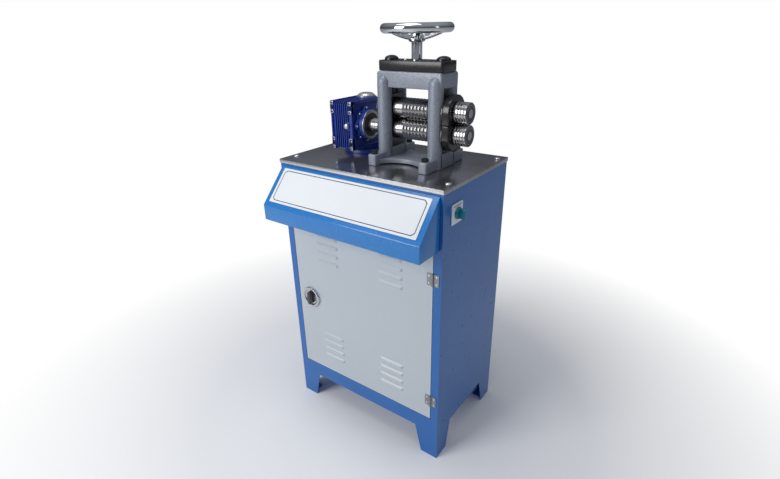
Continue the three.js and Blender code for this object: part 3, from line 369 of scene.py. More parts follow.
def machined(name, colour, rough, stretch, metal=1.0, marks=0.12, stain=None):
    """Metal with fine tool marks. The stretch is small along the marks and large across them."""
    s = Shader(name)
    lines = s.noise(1.0, 5.0, s.stretched(stretch), 0.6)
    cloud = s.noise(9.0, 7.0)
    tone = s.mix(lines, shade(colour, 0.86), shade(colour, 1.1))
    if stain:
        tone = s.mix(((cloud - 0.5) * 2.6).clamp(0.0, 0.6), tone, stain)
    normal = s.bump(lines, marks, 0.0003)
    gloss = (rough + (cloud - 0.5) * 0.2 + (lines - 0.5) * 0.15).clamp(0.03, 0.9)
    return s.finish(colour=tone, rough=gloss, metal=metal, normal=normal)


def moulded(name, colour, rough=0.4):
    s = Shader(name)
    grain = s.noise(900.0, 3.0)
    tone = s.mix(s.noise(14.0, 4.0), shade(colour, 0.88), shade(colour, 1.08))
    return s.finish(colour=tone, rough=rough + (grain - 0.5) * 0.1, normal=s.bump(grain, 0.15, 0.0002))


# %% The finishes
BLUE = enamel("blue_enamel", (0.008, 0.125, 0.42), 0.3)
# The console's blue is the cabinet blue made lighter: painted light, where the hood's slope faces up towards
# the lamps.
LIT_CONSOLE_BLUE = enamel("console_enamel_painted_light", (0.014, 0.19, 0.54), 0.26)
DOOR_GREY = enamel("door_enamel", (0.50, 0.55, 0.59), 0.36, grime=0.04)
WHITE = enamel("white_plate", (0.83, 0.85, 0.88), 0.25, 0.04, 0.03)
PINSTRIPE = moulded("pinstripe", (0.02, 0.03, 0.09), 0.3)
HAMMER = hammertone("hammer_finish", (0.29, 0.32, 0.38))
BLACK = enamel("black_enamel", (0.012, 0.012, 0.013), 0.22, 0.2, 0.3)
GEARBOX = enamel("gearbox_enamel", (0.014, 0.045, 0.30), 0.34, 0.3, 0.12)
MOTOR = enamel("motor_enamel", (0.11, 0.15, 0.19), 0.45, 0.3)
TABLE = machined("table_steel", (0.36, 0.37, 0.39), 0.2, (6, 160, 160), 0.9, 0.1, (0.22, 0.18, 0.15))
# The next finish is bright steel for the screws and bolt heads. It also makes the painted highlight of the
# strip on the table's front edge.
SCREW_STEEL_AND_EDGE_HIGHLIGHT = machined("screw_steel_and_edge_highlight", (0.72, 0.72, 0.73), 0.25, (5, 200, 200), 1.0, 0.1)
ROLL = machined("ground_roll", (0.42, 0.41, 0.41), 0.2, (900, 60, 60), 1.0, 0.1)
STEEL = machined("turned_steel", (0.60, 0.60, 0.61), 0.22, (500, 500, 500), 1.0, 0.05)
CHROME = machined("chrome", (0.62, 0.63, 0.65), 0.06, (40, 40, 40), 1.0, 0.01)
DARK = machined("dark_steel", (0.085, 0.085, 0.095), 0.36, (260, 260, 260), 0.8, 0.1)
ALUMINIUM = machined("bare_aluminium", (0.58, 0.58, 0.57), 0.36, (300, 300, 300), 0.95, 0.12)
BRONZE = machined("bronze", (0.52, 0.29, 0.10), 0.3, (400, 400, 400), 1.0, 0.1)
HINGE = machined("hinge_steel", (0.30, 0.31, 0.33), 0.34, (220, 220, 220), 0.9, 0.1)
PLASTIC = moulded("black_plastic", (0.02, 0.021, 0.024))
TEAL = moulded("teal_plastic", (0.012, 0.20, 0.28), 0.28)
# Near-black finish for painted shade in holes and pockets.
SHADOW = moulded("painted_shade", (0.004, 0.004, 0.005), 0.8)
print("materials:", len(bpy.data.materials))

# %% [markdown]
# The CAD nodes that stay in view take these finishes as they are.

# %% Finish the CAD nodes that stay
SLOT_FINISH = {
    "blue_paint": BLUE, "grey_paint": DOOR_GREY, "hammer_grey": HAMMER, "black_paint": BLACK,
    "gearbox_blue": GEARBOX, "motor_grey": MOTOR, "white_plate": WHITE, "table_steel": TABLE,
    "bright_steel": STEEL, "dark_steel": DARK, "chrome": CHROME, "bare_aluminium": ALUMINIUM,
    "bronze": BRONZE, "dark_plastic": PLASTIC, "teal_plastic": TEAL,
}
for part in frame["record"]["subparts"]:
    node = frame["nodes"][part["node"]]
    node.data.materials.clear()
    leaf = part["node"].endswith("_leaf")
    node.data.materials.append(HINGE if leaf else SLOT_FINISH[part["material_slot"]])

# %% [markdown]
# ## What repeats
#
# Screws and fins are copies of one form. A Geometry Nodes tree sets a form on every point, and its inputs are
# the size of the form and the material. The points are a plain mesh made by a loop.

# %% A tree that puts a form on every point
SOCKETS = (("Points", "NodeSocketGeometry"), ("Size", "NodeSocketVector"), ("Finish", "NodeSocketMaterial"))


def repeat_tree(name, build):
    tree = bpy.data.node_groups.new(name, "GeometryNodeTree")
    inputs = {}
    for label, kind in SOCKETS:
        made = tree.interface.new_socket(name=label, in_out="INPUT", socket_type=kind)
        inputs[label] = made.identifier
    tree.interface.new_socket(name="Result", in_out="OUTPUT", socket_type="NodeSocketGeometry")
    source = tree.nodes.new("NodeGroupInput")
    target = tree.nodes.new("NodeGroupOutput")
    form = build(tree, source)
    spread = tree.nodes.new("GeometryNodeInstanceOnPoints")
    real = tree.nodes.new("GeometryNodeRealizeInstances")
    finish = tree.nodes.new("GeometryNodeSetMaterial")
    links = tree.links
    links.new(source.outputs["Points"], spread.inputs["Points"])
    links.new(form, spread.inputs["Instance"])
    links.new(spread.outputs["Instances"], real.inputs["Geometry"])
    links.new(real.outputs["Geometry"], finish.inputs["Geometry"])
    links.new(source.outputs["Finish"], finish.inputs["Material"])
    links.new(finish.outputs["Geometry"], target.inputs["Result"])
    return tree, inputs


def bar_form(tree, source):
    cube = tree.nodes.new("GeometryNodeMeshCube")
    tree.links.new(source.outputs["Size"], cube.inputs["Size"])
    return cube.outputs["Mesh"]


def head_form(tree, source):
    """A domed screw head: a flattened ball, Size wide each way."""
    ball = tree.nodes.new("GeometryNodeMeshUVSphere")
    ball.inputs["Segments"].default_value = 20
    ball.inputs["Rings"].default_value = 12
    ball.inputs["Radius"].default_value = 0.5
    scale = tree.nodes.new("GeometryNodeTransform")
    tree.links.new(ball.outputs["Mesh"], scale.inputs["Geometry"])
    tree.links.new(source.outputs["Size"], scale.inputs["Scale"])
    return scale.outputs["Geometry"]


BARS = repeat_tree("bars", bar_form)
HEADS = repeat_tree("heads", head_form)


def repeated(name, tree_and_inputs, points, size, material, body="stand"):
    tree, inputs = tree_and_inputs
    base = bpy.data.meshes.new(name + "_points")
    base.from_pydata([metres(p) for p in points], [], [])
    carrier = bpy.data.objects.new(name + "_points", base)
    bpy.context.scene.collection.objects.link(carrier)
    modifier = carrier.modifiers.new("repeat", "NODES")
    modifier.node_group = tree
    modifier[inputs["Size"]] = [s / 1000.0 for s in size]
    modifier[inputs["Finish"]] = material
    graph = bpy.context.evaluated_depsgraph_get()
    mesh = bpy.data.meshes.new_from_object(carrier.evaluated_get(graph))
    carrier.modifiers.clear()
    bpy.data.objects.remove(carrier)
    mesh.name = name
    return settle(name, mesh, material, body, ())


# %% [markdown]
# ## The table and the cabinet
#
# The table is a sheet of bare steel held by four domed screws. Its front edge carries a bright strip, a
# painted highlight where the light falls on the front face. A flat plate with a small bevel gives its
# outline. The bevel
# matters: it catches the light, which a sharp edge can't.

# %% Table
TABLE_HALF_X, TABLE_HALF_Y = 300, 197
table_outline = rounded(-TABLE_HALF_X, TABLE_HALF_X, -TABLE_HALF_Y, TABLE_HALF_Y, 4)
piece("table_top_plate", [plate("z", table_outline, TABLE_TOP - 12, TABLE_TOP, 0.8)], TABLE,
      stands_for=["table_plate"])
screw_spots = [(x, y, TABLE_TOP) for x in (-279, 279) for y in (-140, 160)]
repeated("table_screws", HEADS, screw_spots, (19, 19, 9), SCREW_STEEL_AND_EDGE_HIGHLIGHT)

# A bright strip on the front face only: a painted highlight where the light falls on the table's front edge.
highlight_strip_y = (-TABLE_HALF_Y - 0.2, -TABLE_HALF_Y + 1)
front_highlight_strip = block((-298, 298), highlight_strip_y, (TABLE_TOP - 11, TABLE_TOP - 1), 0.3)
piece("table_front_edge_highlight", [front_highlight_strip], SCREW_STEEL_AND_EDGE_HIGHLIGHT)

# %% [markdown]
# The console hood is folded from one sheet, so its corners are rolled and not sharp. It is drawn from the
# side and given the cabinet's width. The white plate and its printed border lie on the slope. They are drawn
# flat and then turned onto it, because flat sizes are easier to read.

# %% Console hood with rolled edges
HOOD_TOP, HOOD_LIP, HOOD_LOW, HOOD_REACH, HOOD_HALF = 905.0, 800.0, 750.0, 97.0, 288.0
hood_back = FRONT_Y - 0.3
hood_front = FRONT_Y - HOOD_REACH
hood_side = [(hood_back, HOOD_LOW), (hood_front, HOOD_LOW), (hood_front, HOOD_LIP), (hood_back, HOOD_TOP)]
# The hood takes the lighter blue: painted light on its upward slope.
piece("console_shell", [plate("x", hood_side, -HOOD_HALF, HOOD_HALF, 2.2, 4)], LIT_CONSOLE_BLUE,
      stands_for=["console_hood"])

slope = math.atan2(HOOD_TOP - HOOD_LIP, HOOD_REACH)


def on_slope(bm):
    """Lays a form drawn flat, with its top edge at y 0, on the console's slope."""
    turn = Matrix.Translation((0, FRONT_Y, HOOD_TOP)) @ Matrix.Rotation(slope, 4, "X")
    bmesh.ops.transform(bm, matrix=turn, verts=bm.verts)
    return bm


def frame_strip(x0, x1, y0, y1, width, clip, z0, z1):
    """A thin border with clipped corners."""
    def ring(inset):
        cut = clip - inset * 0.4
        left, right, low, high = x0 + inset, x1 - inset, y0 + inset, y1 - inset
        return [(left + cut, low), (right - cut, low), (right, low + cut), (right, high - cut),
                (right - cut, high), (left + cut, high), (left, high - cut), (left, low + cut)]

    bm = bmesh.new()
    outer = ring(0)
    inner = ring(width)
    loops = ((outer, z0), (outer, z1), (inner, z1), (inner, z0))
    levels = [[bm.verts.new((*p, z)) for p in loop] for loop, z in loops]
    for near, far in zip(levels, levels[1:] + levels[:1]):
        for i in range(8):
            j = (i + 1) % 8
            bm.faces.new([near[i], near[j], far[j], far[i]])
    bmesh.ops.recalc_face_normals(bm, faces=bm.faces)
    return bm


PANEL_HALF, PANEL_LOW, PANEL_HIGH = 270, -128, -11
BORDER_SIDE, BORDER_END = 9, 7
panel = plate("z", rounded(-PANEL_HALF, PANEL_HALF, PANEL_LOW, PANEL_HIGH, 3), 0.3, 1.7, 0.3)
border = frame_strip(-PANEL_HALF + BORDER_SIDE, PANEL_HALF - BORDER_SIDE, PANEL_LOW + BORDER_END,
                     PANEL_HIGH - BORDER_END, 2.2, 9, 1.6, 2.0)
piece("console_panel", [on_slope(panel)], WHITE, stands_for=["console_plate"])
piece("console_pinstripe", [on_slope(border)], PINSTRIPE)

# %% [markdown]
# The door's turn lock is a dished ring with a bar across it. The ring is a turned profile, because a dish is
# round, and the bar rides on its own body, so that it turns. Hinge leaves are held by bright screws, half of
# them on the door and half on the frame. The side switch is a plate with a turned knob and a bar.

# %% Lock, hinges and switch
LOCK = (-214, FRONT_Y, 445)
dish = [(-0.3, 0), (-0.3, 38), (-5, 38), (-7.4, 36.5), (-8.3, 34), (-8.3, 31.5), (-7, 29), (-4, 27.5),
        (-3, 26), (-3, 0)]
piece("lock_dish", [turned("y", dish, LOCK)], STEEL, "door", ["lock_rosette"])
grip = rounded(LOCK[0] - 7.5, LOCK[0] + 7.5, LOCK[2] - 24.5, LOCK[2] + 24.5, 7)
spindle = turned("y", [(-5, 0), (-5, 5), (7.7, 5), (7.7, 0)], LOCK, 32)
piece("lock_grip", [plate("y", grip, FRONT_Y - 17.6, FRONT_Y - 3.6, 3, 5), spindle], DARK, "door_lock",
      ["lock_handle"])

HINGE_X, HINGE_HEIGHTS = 271, (230, 659)
SCREW_X, SCREW_Z, SCREW_Y = 12.5, 11, FRONT_Y - 1.8
for body, side in (("door", -1), ("stand", 1)):
    spots = [(HINGE_X + side * SCREW_X, SCREW_Y, z + dz) for z in HINGE_HEIGHTS for dz in (-SCREW_Z, SCREW_Z)]
    repeated("hinge_screws_" + body, HEADS, spots, (6, 2.6, 6), SCREW_STEEL_AND_EDGE_HIGHLIGHT, body)

SWITCH_Y, SWITCH_Z, SWITCH_HALF = -124, 841, 29
switch_outline = rounded(SWITCH_Y - SWITCH_HALF, SWITCH_Y + SWITCH_HALF,
                         SWITCH_Z - SWITCH_HALF, SWITCH_Z + SWITCH_HALF, 5)
switch = plate("x", switch_outline, SIDE_X + 0.3, SIDE_X + 4, 1)
piece("switch_face", [switch], WHITE, stands_for=["switch_plate"])
knob = turned("x", [(4.6, 0), (4.6, 17), (9, 16.5), (11, 15), (11, 0)], (SIDE_X, SWITCH_Y, SWITCH_Z), 64)
knob_outline = rounded(SWITCH_Y - 4.5, SWITCH_Y + 4.5, SWITCH_Z - 15, SWITCH_Z + 15, 4.3)
knob_bar = plate("x", knob_outline, SIDE_X + 9, SIDE_X + 28.6, 1.5)
piece("switch_grip", [knob, knob_bar], TEAL, "switch", ["switch_knob"])
mark_y = (SWITCH_Y - 22, SWITCH_Y + 22)
marks = [block((SIDE_X + 3.9, SIDE_X + 4.1), mark_y, (SWITCH_Z + z, SWITCH_Z + z + 1.2)) for z in (20, 23)]
piece("switch_marks", marks, PINSTRIPE)

# %% [markdown]
# ## The mill head
#
# The frame is one iron casting in hammer finish: four round-fronted columns with domed tops, a crossbeam set
# back behind them, lugs for the bolts, and a base web with a hollowed front edge. One quarter is made and
# mirrored twice, as the casting is the same on all four corners.

# %% Casting
HALF, COLUMN_R = 107.0, 21.0
COLUMN_X, COLUMN_Y = HALF - COLUMN_R, 58.7 - COLUMN_R
DOME_Z, LEG_INNER = 230, 65
WEB_FRONT, WEB_HOLLOW, WEB_HALF, ARCH_HALF = 85.0, 46.0, 79, 73.0


def at_head(outline, rise=0):
    """Moves an outline drawn about the middle of the mill head to its place."""
    return [(HEAD_X + x, rise + y) for x, y in outline]


bends = [math.radians(a) for a in range(0, 90, 9)]
dome = [(DOME_Z + COLUMN_R * math.sin(a), COLUMN_R * math.cos(a)) for a in bends]
column_profile = [(1, 0), (1, COLUMN_R), *dome, (DOME_Z + COLUMN_R, 0)]
column = turned("z", column_profile, (HEAD_X + COLUMN_X, -COLUMN_Y, TABLE_TOP))
leg_x = (HEAD_X + LEG_INNER, HEAD_X + HALF)
wall = block(leg_x, (-COLUMN_Y - 1, -32), (TABLE_TOP + 1, TABLE_TOP + 228), 1.5)
lug = plate("z", at_head(rounded(73, 102, -107, -40, 6)), TABLE_TOP + 0.3, TABLE_TOP + 33, 2.5)
quarters = both_sides(both_sides([column, wall, lug], "x", HEAD_X), "y")
sills = both_sides([block(leg_x, (-40, 40), (TABLE_TOP + 0.3, TABLE_TOP + 44), 2)], "x", HEAD_X)
beam = plate("y", at_head(rounded(-HALF, HALF, 217, 261, 9), TABLE_TOP), -46, 46, 3, 4)

sag = WEB_FRONT - WEB_HOLLOW
arch_r = (ARCH_HALF ** 2 + sag ** 2) / (2 * sag)
spread = math.asin(ARCH_HALF / arch_r)
sweep = [spread * (1 - 2 * i / 24) for i in range(25)]
arch = [(-arch_r * math.sin(a), -(WEB_HOLLOW + arch_r) + arch_r * math.cos(a)) for a in sweep]
web_back = [(WEB_HALF, -WEB_FRONT), (WEB_HALF, 1), (-WEB_HALF, 1), (-WEB_HALF, -WEB_FRONT)]
web = plate("z", at_head([*arch, *web_back]), TABLE_TOP + 3, TABLE_TOP + 16, 1.8)
piece("mill_casting", quarters + sills + [beam] + both_sides([web], "y"), HAMMER,
      stands_for=["mill_frame"])

# %% [markdown]
# The black case on top hides the screw-down gears. It has softly rounded edges and a domed cap over each
# screw.

# %% Screw-down case
CASE_Z = TABLE_TOP + 261.0
case = plate("z", at_head(rounded(-HALF, HALF, -38.7, 38.7, 8)), CASE_Z + 0.3, CASE_Z + 28, 2.5, 4)
cap_arc = [(30 + 10 * math.sin(a), 20 * math.cos(a)) for a in bends]
cap = turned("z", [(27, 0), (27, 20), *cap_arc, (40, 0)], (HEAD_X + COLUMN_X, 0, CASE_Z))
piece("screwdown_housing", [case, *both_sides([cap], "x", HEAD_X)], BLACK,
      stands_for=["screwdown_case"])
repeated("case_screw", HEADS, [(HEAD_X - 38, 0, CASE_Z + 28)], (9, 9, 6), SCREW_STEEL_AND_EDGE_HIGHLIGHT)

# %% [markdown]
# The handwheel is a plated ring on five arms. Their section is oval, and they leave the hub level and rise to
# the rim. A section carried along a smooth curve suits them better than a bent block, which would kink.

# %% Handwheel
RIM_Z, HUB_Z = TABLE_TOP + 371.0, TABLE_TOP + 335.0
RIM_R, ARMS = 88, 5
around = [2 * math.pi * i / 120 for i in range(120)]
ring_path = [(HEAD_X + RIM_R * math.cos(a), RIM_R * math.sin(a), RIM_Z) for a in around]
rim = swept(ring_path, circle(12.9, 32), closed=True)
hub_profile = [(0, 0), (0, 18), (1.5, 21), (4, 23), (14, 22.6), (17, 21), (21, 16.5), (26, 14), (30, 13),
               (32, 11.5), (32, 0)]
hub = turned("z", hub_profile, (HEAD_X, 0, HUB_Z), 72)
arm_shape = [(12, HUB_Z + 9), (32, HUB_Z + 12), (62, RIM_Z - 14), (84, RIM_Z - 3)]


def smooth(points, count):
    """A Catmull-Rom curve through points in the plane."""
    ends = [points[0], *points, points[-1]]
    out = []
    for i in range(len(points) - 1):
        p0, p1, p2, p3 = (Vector(p) for p in ends[i:i + 4])
        for k in range(count):
            t = k / count
            out.append(0.5 * (2 * p1 + (p2 - p0) * t + (2 * p0 - 5 * p1 + 4 * p2 - p3) * t * t
                              + (3 * p1 - p0 - 3 * p2 + p3) * t ** 3))
    return [*out, Vector(points[-1])]


arms = []
for i in range(ARMS):
    a = math.radians(90 + 360 / ARMS * i)
    path = [(HEAD_X + p.x * math.cos(a), p.x * math.sin(a), p.y) for p in smooth(arm_shape, 8)]
    arms.append(swept(path, circle(7.6, 24, 0.58)))
piece("handwheel_plated", [rim, hub, *arms], CHROME, "handwheel_set", ["handwheel"])
shaft_profile = [(284, 0), (284, 15), (336, 15), (336, 9), (360, 9), (361, 8), (361, 0)]
shaft = turned("z", shaft_profile, (HEAD_X, 0, TABLE_TOP), 64)
nut = plate("z", at_head(circle(11.5, 6)), HUB_Z + 32, HUB_Z + 33.5, 0.4)
piece("handwheel_spindle", [shaft], CHROME, "handwheel_set", ["handwheel_shaft"])
piece("handwheel_nut", [nut], CHROME, "handwheel_set")

# %% [markdown]
# Both rolls are ground bright. The left part is smooth for sheet, and the rest has V grooves of falling width
# for wire. Extension rolls outside the gears carry half-round grooves. A lathe makes such a roll, so each is
# one turned profile, and a loop writes its grooves.

# %% Rolls
ROLL_R, ROLL_HALF, PLAIN, GROOVES, WIDEST, LAND = 30.0, 64.0, 33.0, 8, 9.5, 1.6
DEPTH_SHARE = 0.42  # of a groove's width
room = 2 * ROLL_HALF - PLAIN - LAND
shrink = 2 * (WIDEST * GROOVES + LAND * GROOVES - room) / (GROOVES * (GROOVES - 1))
FLANGE_END = HALF + 3.3
COVER_END = FLANGE_END + 22.3
EXT_START = COVER_END + 1.5
EXT_END = EXT_START + 39.0
EXT_GROOVES, EXT_PITCH, EXT_WIDE, EXT_DEEP = 4, 8.75, 2.2, 1.8


def barrel_profile():
    points = [(-ROLL_HALF, 16), (-ROLL_HALF, ROLL_R - 1.5), (-ROLL_HALF + 1.5, ROLL_R)]
    x = -ROLL_HALF + PLAIN
    for i in range(GROOVES):
        wide = WIDEST - i * shrink
        floor_r = ROLL_R - wide * DEPTH_SHARE
        points += [(x - 0.2, ROLL_R), (x + 0.2, ROLL_R - 0.3), (x + wide / 2 - 0.3, floor_r),
                   (x + wide / 2 + 0.3, floor_r), (x + wide - 0.2, ROLL_R - 0.3), (x + wide + 0.2, ROLL_R)]
        x += wide + LAND
    return points + [(ROLL_HALF - 1.5, ROLL_R), (ROLL_HALF, ROLL_R - 1.5), (ROLL_HALF, 16)]


def extension_profile():
    points = [(EXT_START, 0), (EXT_START, ROLL_R - 1), (EXT_START + 1, ROLL_R)]
    for i in range(EXT_GROOVES):
        middle = EXT_START + 2 + EXT_PITCH * (i + 0.5)
        for k in range(9):
            a = math.pi * k / 8
            points.append((middle - EXT_WIDE * math.cos(a), ROLL_R - EXT_DEEP * math.sin(a)))
    end = [(-1, ROLL_R), (0, ROLL_R - 1), (0, 22), (-0.8, 21.4), (-0.8, 13), (0, 12.4), (0, 0)]
    return points + [(EXT_END + x, r) for x, r in end]


FACE = [(-0.6, 0), (-0.6, 28.6), (0.1, 28.2), (0.1, 23), (-0.2, 22.5), (-0.2, 14), (0.3, 13.5), (0.3, 0)]
ROLL_SETS = (("lower", LOWER_Z, -HALF - 26), ("upper", UPPER_Z, -HALF - 8))
for name, z, left in ROLL_SETS:
    here = (HEAD_X, 0, z)
    body = name + "_roll_set"
    axle = [(left, 0), (left, 13), (left + 1, 14), (-HALF - 4, 14), (-HALF - 4, 16)]
    stub = [(COVER_END - 2, 16), (COVER_END - 2, 12), (EXT_END + 1, 12), (EXT_END + 1, 0)]
    roll = turned("x", [*axle, *barrel_profile(), *stub], here, 128)
    piece(name + "_roll_ground", [roll], ROLL, body, [name + "_roll"])
    extension = turned("x", extension_profile(), here, 128)
    piece(name + "_wire_extension", [extension], ROLL, body, [name + "_extension_roll"])
    end_face = turned("x", [(EXT_END + x, r) for x, r in FACE], here)
    piece(name + "_end_face", [end_face], DARK, body)
    repeated(name + "_end_screw", HEADS, [(HEAD_X + EXT_END + 0.4, 0, z)], (1.2, 13, 13), DARK, body)

# %% [markdown]
# Two black guards cover the long-toothed gears that couple the rolls. Together they are a long oval, split
# between the rolls, because the upper guard rises with its roll.

# %% Guards over the roll gears
GUARD_R = 48.0
SEAM_HALF = 0.4
for name, z, body, side in (("lower", LOWER_Z, "stand", -1), ("upper", UPPER_Z, "upper_carriage", 1)):
    seam = NIP_Z + side * SEAM_HALF
    arc = [math.pi * i / 40 for i in range(41)]
    crown = [(-GUARD_R * math.cos(a), z + side * GUARD_R * math.sin(a)) for a in arc]
    outline = [(-GUARD_R, seam), *crown, (GUARD_R, seam)]
    form = plate("x", outline, HEAD_X + FLANGE_END + 0.3, HEAD_X + COVER_END, 2.4, 4)
    piece(name + "_gear_guard", [form], BLACK, body, [name + "_gear_cover"])
print("cabinet and mill head pieces:", len(PIECES))

# %% [markdown]
# ## The worm gearbox
#
# The case is a square casting with pads at its corners and rails between them. A turned drum inside would
# cross the moving worm wheel, so only the drum's two ends are made, where they show above and below the case.

# %% Gearbox case
BZ = LOWER_Z
WORM_Y = 63
CORE_TALL, RAIL_TALL, RAIL_LOW = 67, 74, 65  # half heights
BOX_CENTRE = (BOX_X, 0, BZ)


def bx(x):
    return BOX_X + x


core = block((bx(-39.5), bx(39.5)), (-60, 101), (BZ - CORE_TALL, BZ + CORE_TALL), 4)
drum_end = turned("z", [(60, 0), (60, 34), (73, 34), (74, 33), (74, 0)], (BOX_X, WORM_Y, BZ))
drum_ends = both_sides([drum_end], "z", BZ)

pad_x, pad_z = (bx(28.5), bx(BOX_HALF)), (BZ + 36, BZ + RAIL_TALL)
front_pads = both_sides(both_sides([block(pad_x, (-67, -50), pad_z, 1.2)], "x", BOX_X), "z", BZ)
rear_pads = both_sides(both_sides([block(pad_x, (91, 108), pad_z, 1.2)], "x", BOX_X), "z", BZ)

rail_x, whole_z = (bx(37.5), bx(BOX_HALF)), (BZ - RAIL_TALL, BZ + RAIL_TALL)
rails = both_sides([block(rail_x, (-65, 106), (BZ + RAIL_LOW, BZ + RAIL_TALL), 1.2),
                    block(rail_x, (-65, -55), whole_z, 1.2),
                    block(rail_x, (96, 106), whole_z, 1.2),
                    block(rail_x, (-65, 106), (BZ - RAIL_TALL, BZ - RAIL_LOW), 1.2)], "x", BOX_X)
seat_profile = [(-54.5, 0), (-54.5, 23), (-53.5, 43.5), (-52.5, 45), (-36, 45), (-36, 0)]
seat = turned("x", seat_profile, BOX_CENTRE)
piece("gearbox_casting", [core, *drum_ends, *front_pads, *rear_pads, *rails, seat], GEARBOX,
      stands_for=["gearbox_housing"])

# %% [markdown]
# Fins carry off the worm's heat. They are bars on points. The one behind the oil plug is cut short, above and
# below it.

# %% Fins
FINS, FIN_MARGIN, FIN_THICK = 7, 14, 2.6
PLUG_X = bx(20)
PLUG_CLEAR = 9
fin_pitch = (2 * BOX_HALF - 2 * FIN_MARGIN) / FINS
fin_x = [bx(-BOX_HALF + FIN_MARGIN + fin_pitch * (i + 0.5)) for i in range(FINS)]
long_spots = [(x, -62.4, BZ) for x in fin_x if abs(x - PLUG_X) > PLUG_CLEAR]
short_spots = [(x, -62.4, BZ + s * 40) for x in fin_x if abs(x - PLUG_X) <= PLUG_CLEAR for s in (-1, 1)]
top_spots = [(x, -1, BZ + 69) for x in fin_x]
for name, spots, fin_size in (("gearbox_fins", long_spots, (FIN_THICK, 6.2, 136)),
                              ("gearbox_short_fins", short_spots, (FIN_THICK, 6.2, 54)),
                              ("gearbox_top_fins", top_spots, (FIN_THICK, 118, 6))):
    repeated(name, BARS, spots, fin_size, GEARBOX)

# %% [markdown]
# Each corner pad has a tapped hole between two square pockets, with bright machined rims. Thin near-black
# forms are painted shade for the depth of the holes and pockets, since cuts this small wouldn't show.

# %% Holes and pockets of the pads
PAD_FACE, HOLE_X, HOLE_Z = -67, 35.5, 55
corners = [(s, t) for s in (-1, 1) for t in (-1, 1)]
rim_forms = []
hole_shade_forms = []
for s, t in corners:
    x, z = bx(s * HOLE_X), BZ + t * HOLE_Z
    rim_forms.append(turned("y", [(-0.2, 0), (-0.2, 5.9), (0.4, 6.2), (0.4, 0)], (x, PAD_FACE + 0.2, z), 40))
    hole_shade_forms.append(turned("y", [(-0.1, 0), (-0.1, 4.1), (0.5, 4.1), (0.5, 0)], (x, PAD_FACE - 0.1, z), 40))
for s, t, d in [(s, t, d) for s, t in corners for d in (-13, 13)]:
    x, z = bx(s * HOLE_X), BZ + t * (HOLE_Z + d)
    rim_forms.append(block((x - 5.6, x + 5.6), (PAD_FACE - 0.1, PAD_FACE + 0.5), (z - 4.6, z + 4.6), 0.2))
    hole_shade_forms.append(block((x - 3.7, x + 3.7), (PAD_FACE - 0.3, PAD_FACE + 0.4), (z - 2.7, z + 2.7), 0.1))
piece("pad_rims", rim_forms, ALUMINIUM)
piece("pad_hole_shade", hole_shade_forms, SHADOW)

# %% [markdown]
# The cover round the output shaft has eight lobes, one for each bolt. A cosine swells the outline where a
# bolt sits. Inside it come a bright ring, a dark shaft seal and the sleeve that drives the lower roll.

# %% Output side
LOBES, LOBE_STEPS = 8, 12


def beyond_case(profile):
    """A profile measured from the right face of the case."""
    return [(BOX_HALF + along, radius) for along, radius in profile]


star = []
for i in range(LOBES * LOBE_STEPS):
    a = 2 * math.pi * i / (LOBES * LOBE_STEPS) + math.pi / 2
    swell = math.cos(LOBES * (a - math.pi / 2)) * 0.5 + 0.5
    r = 46 + 9 * swell ** 0.8
    star.append((r * math.cos(a), BZ + r * math.sin(a)))
lobed = plate("x", star, bx(BOX_HALF + 0.3), bx(BOX_HALF + 8), 0.8)
collar = turned("x", beyond_case([(0.3, 0), (0.3, 45), (22, 45), (23.5, 44), (23.5, 0)]), BOX_CENTRE)
piece("output_flange", [lobed, collar], GEARBOX, stands_for=["output_cover"])
seal = turned("x", beyond_case([(23.2, 0), (23.2, 36.4), (24.1, 36.4), (24.1, 0)]), BOX_CENTRE)
piece("output_seal", [seal], PLASTIC)
ring_profile = [(23.4, 0), (23.4, 44.6), (24.6, 44.4), (25, 43.6), (25, 36.5), (23.6, 36), (23.6, 0)]
output_ring = turned("x", beyond_case(ring_profile), BOX_CENTRE)
piece("output_ring", [output_ring], ALUMINIUM)
bolt_angles = [math.pi / 4 * i + math.pi / 2 for i in range(LOBES)]
bolt_spots = [(bx(BOX_HALF + 8), 49.5 * math.cos(a), BZ + 49.5 * math.sin(a)) for a in bolt_angles]
repeated("cover_bolts", HEADS, bolt_spots, (6, 7.5, 7.5), SCREW_STEEL_AND_EDGE_HIGHLIGHT)

sleeve_profile = [(-48.5, 0), (-48.5, 22), (118.5, 22), (120.5, 20), (120.5, 15), (116, 14.3), (116, 0)]
sleeve = turned("x", sleeve_profile, BOX_CENTRE)
piece("drive_sleeve", [sleeve], STEEL, "lower_roll_set", ["output_coupling"])

# %% [markdown]
# A domed lid closes the worm's upper bearing, a round foot joins the case to the motor under the table, and a
# six-sided plug shows the oil level.

# %% Lid, foot and plug
lid = [(0.3, 0), (0.3, 29), (4, 29), (5, 28), (5.6, 26), (8, 24), (10.4, 20), (11.7, 15), (12.3, 7),
       (12.3, 0)]
piece("worm_lid", [turned("z", lid, (BOX_X, WORM_Y, BZ + 74))], ALUMINIUM, stands_for=["worm_cap"])
neck = [(0.3, 0), (0.3, 79), (1, 80), (11.6, 80), (12.3, 79), (12.3, 56), (21.7, 56), (21.7, 0)]
piece("gearbox_foot", [turned("z", neck, (BOX_X, WORM_Y, TABLE_TOP))], GEARBOX,
      stands_for=["input_flange"])
plug = plate("y", [(PLUG_X + x, BZ + z) for x, z in circle(9, 6)], -68.3, -60.3, 0.8)
plug_face = turned("y", [(-71.3, 0), (-71.3, 5), (-70.6, 6.4), (-67, 6.5), (-67, 0)], (PLUG_X, 0, BZ), 48)
piece("oil_level_plug", [plug, plug_face], ALUMINIUM, stands_for=["oil_plug"])
print("pieces:", len(PIECES), "triangles:", sum(len(p.vertices) - 2 for o in PIECES for p in o.data.polygons))

# %% [markdown]
# ## Camera and light
#
# The camera repeats the photograph's viewpoint: a wide lens close by, above and to the right. Its place and
# directions come from matching the table, door and legs to their edges in the photograph.

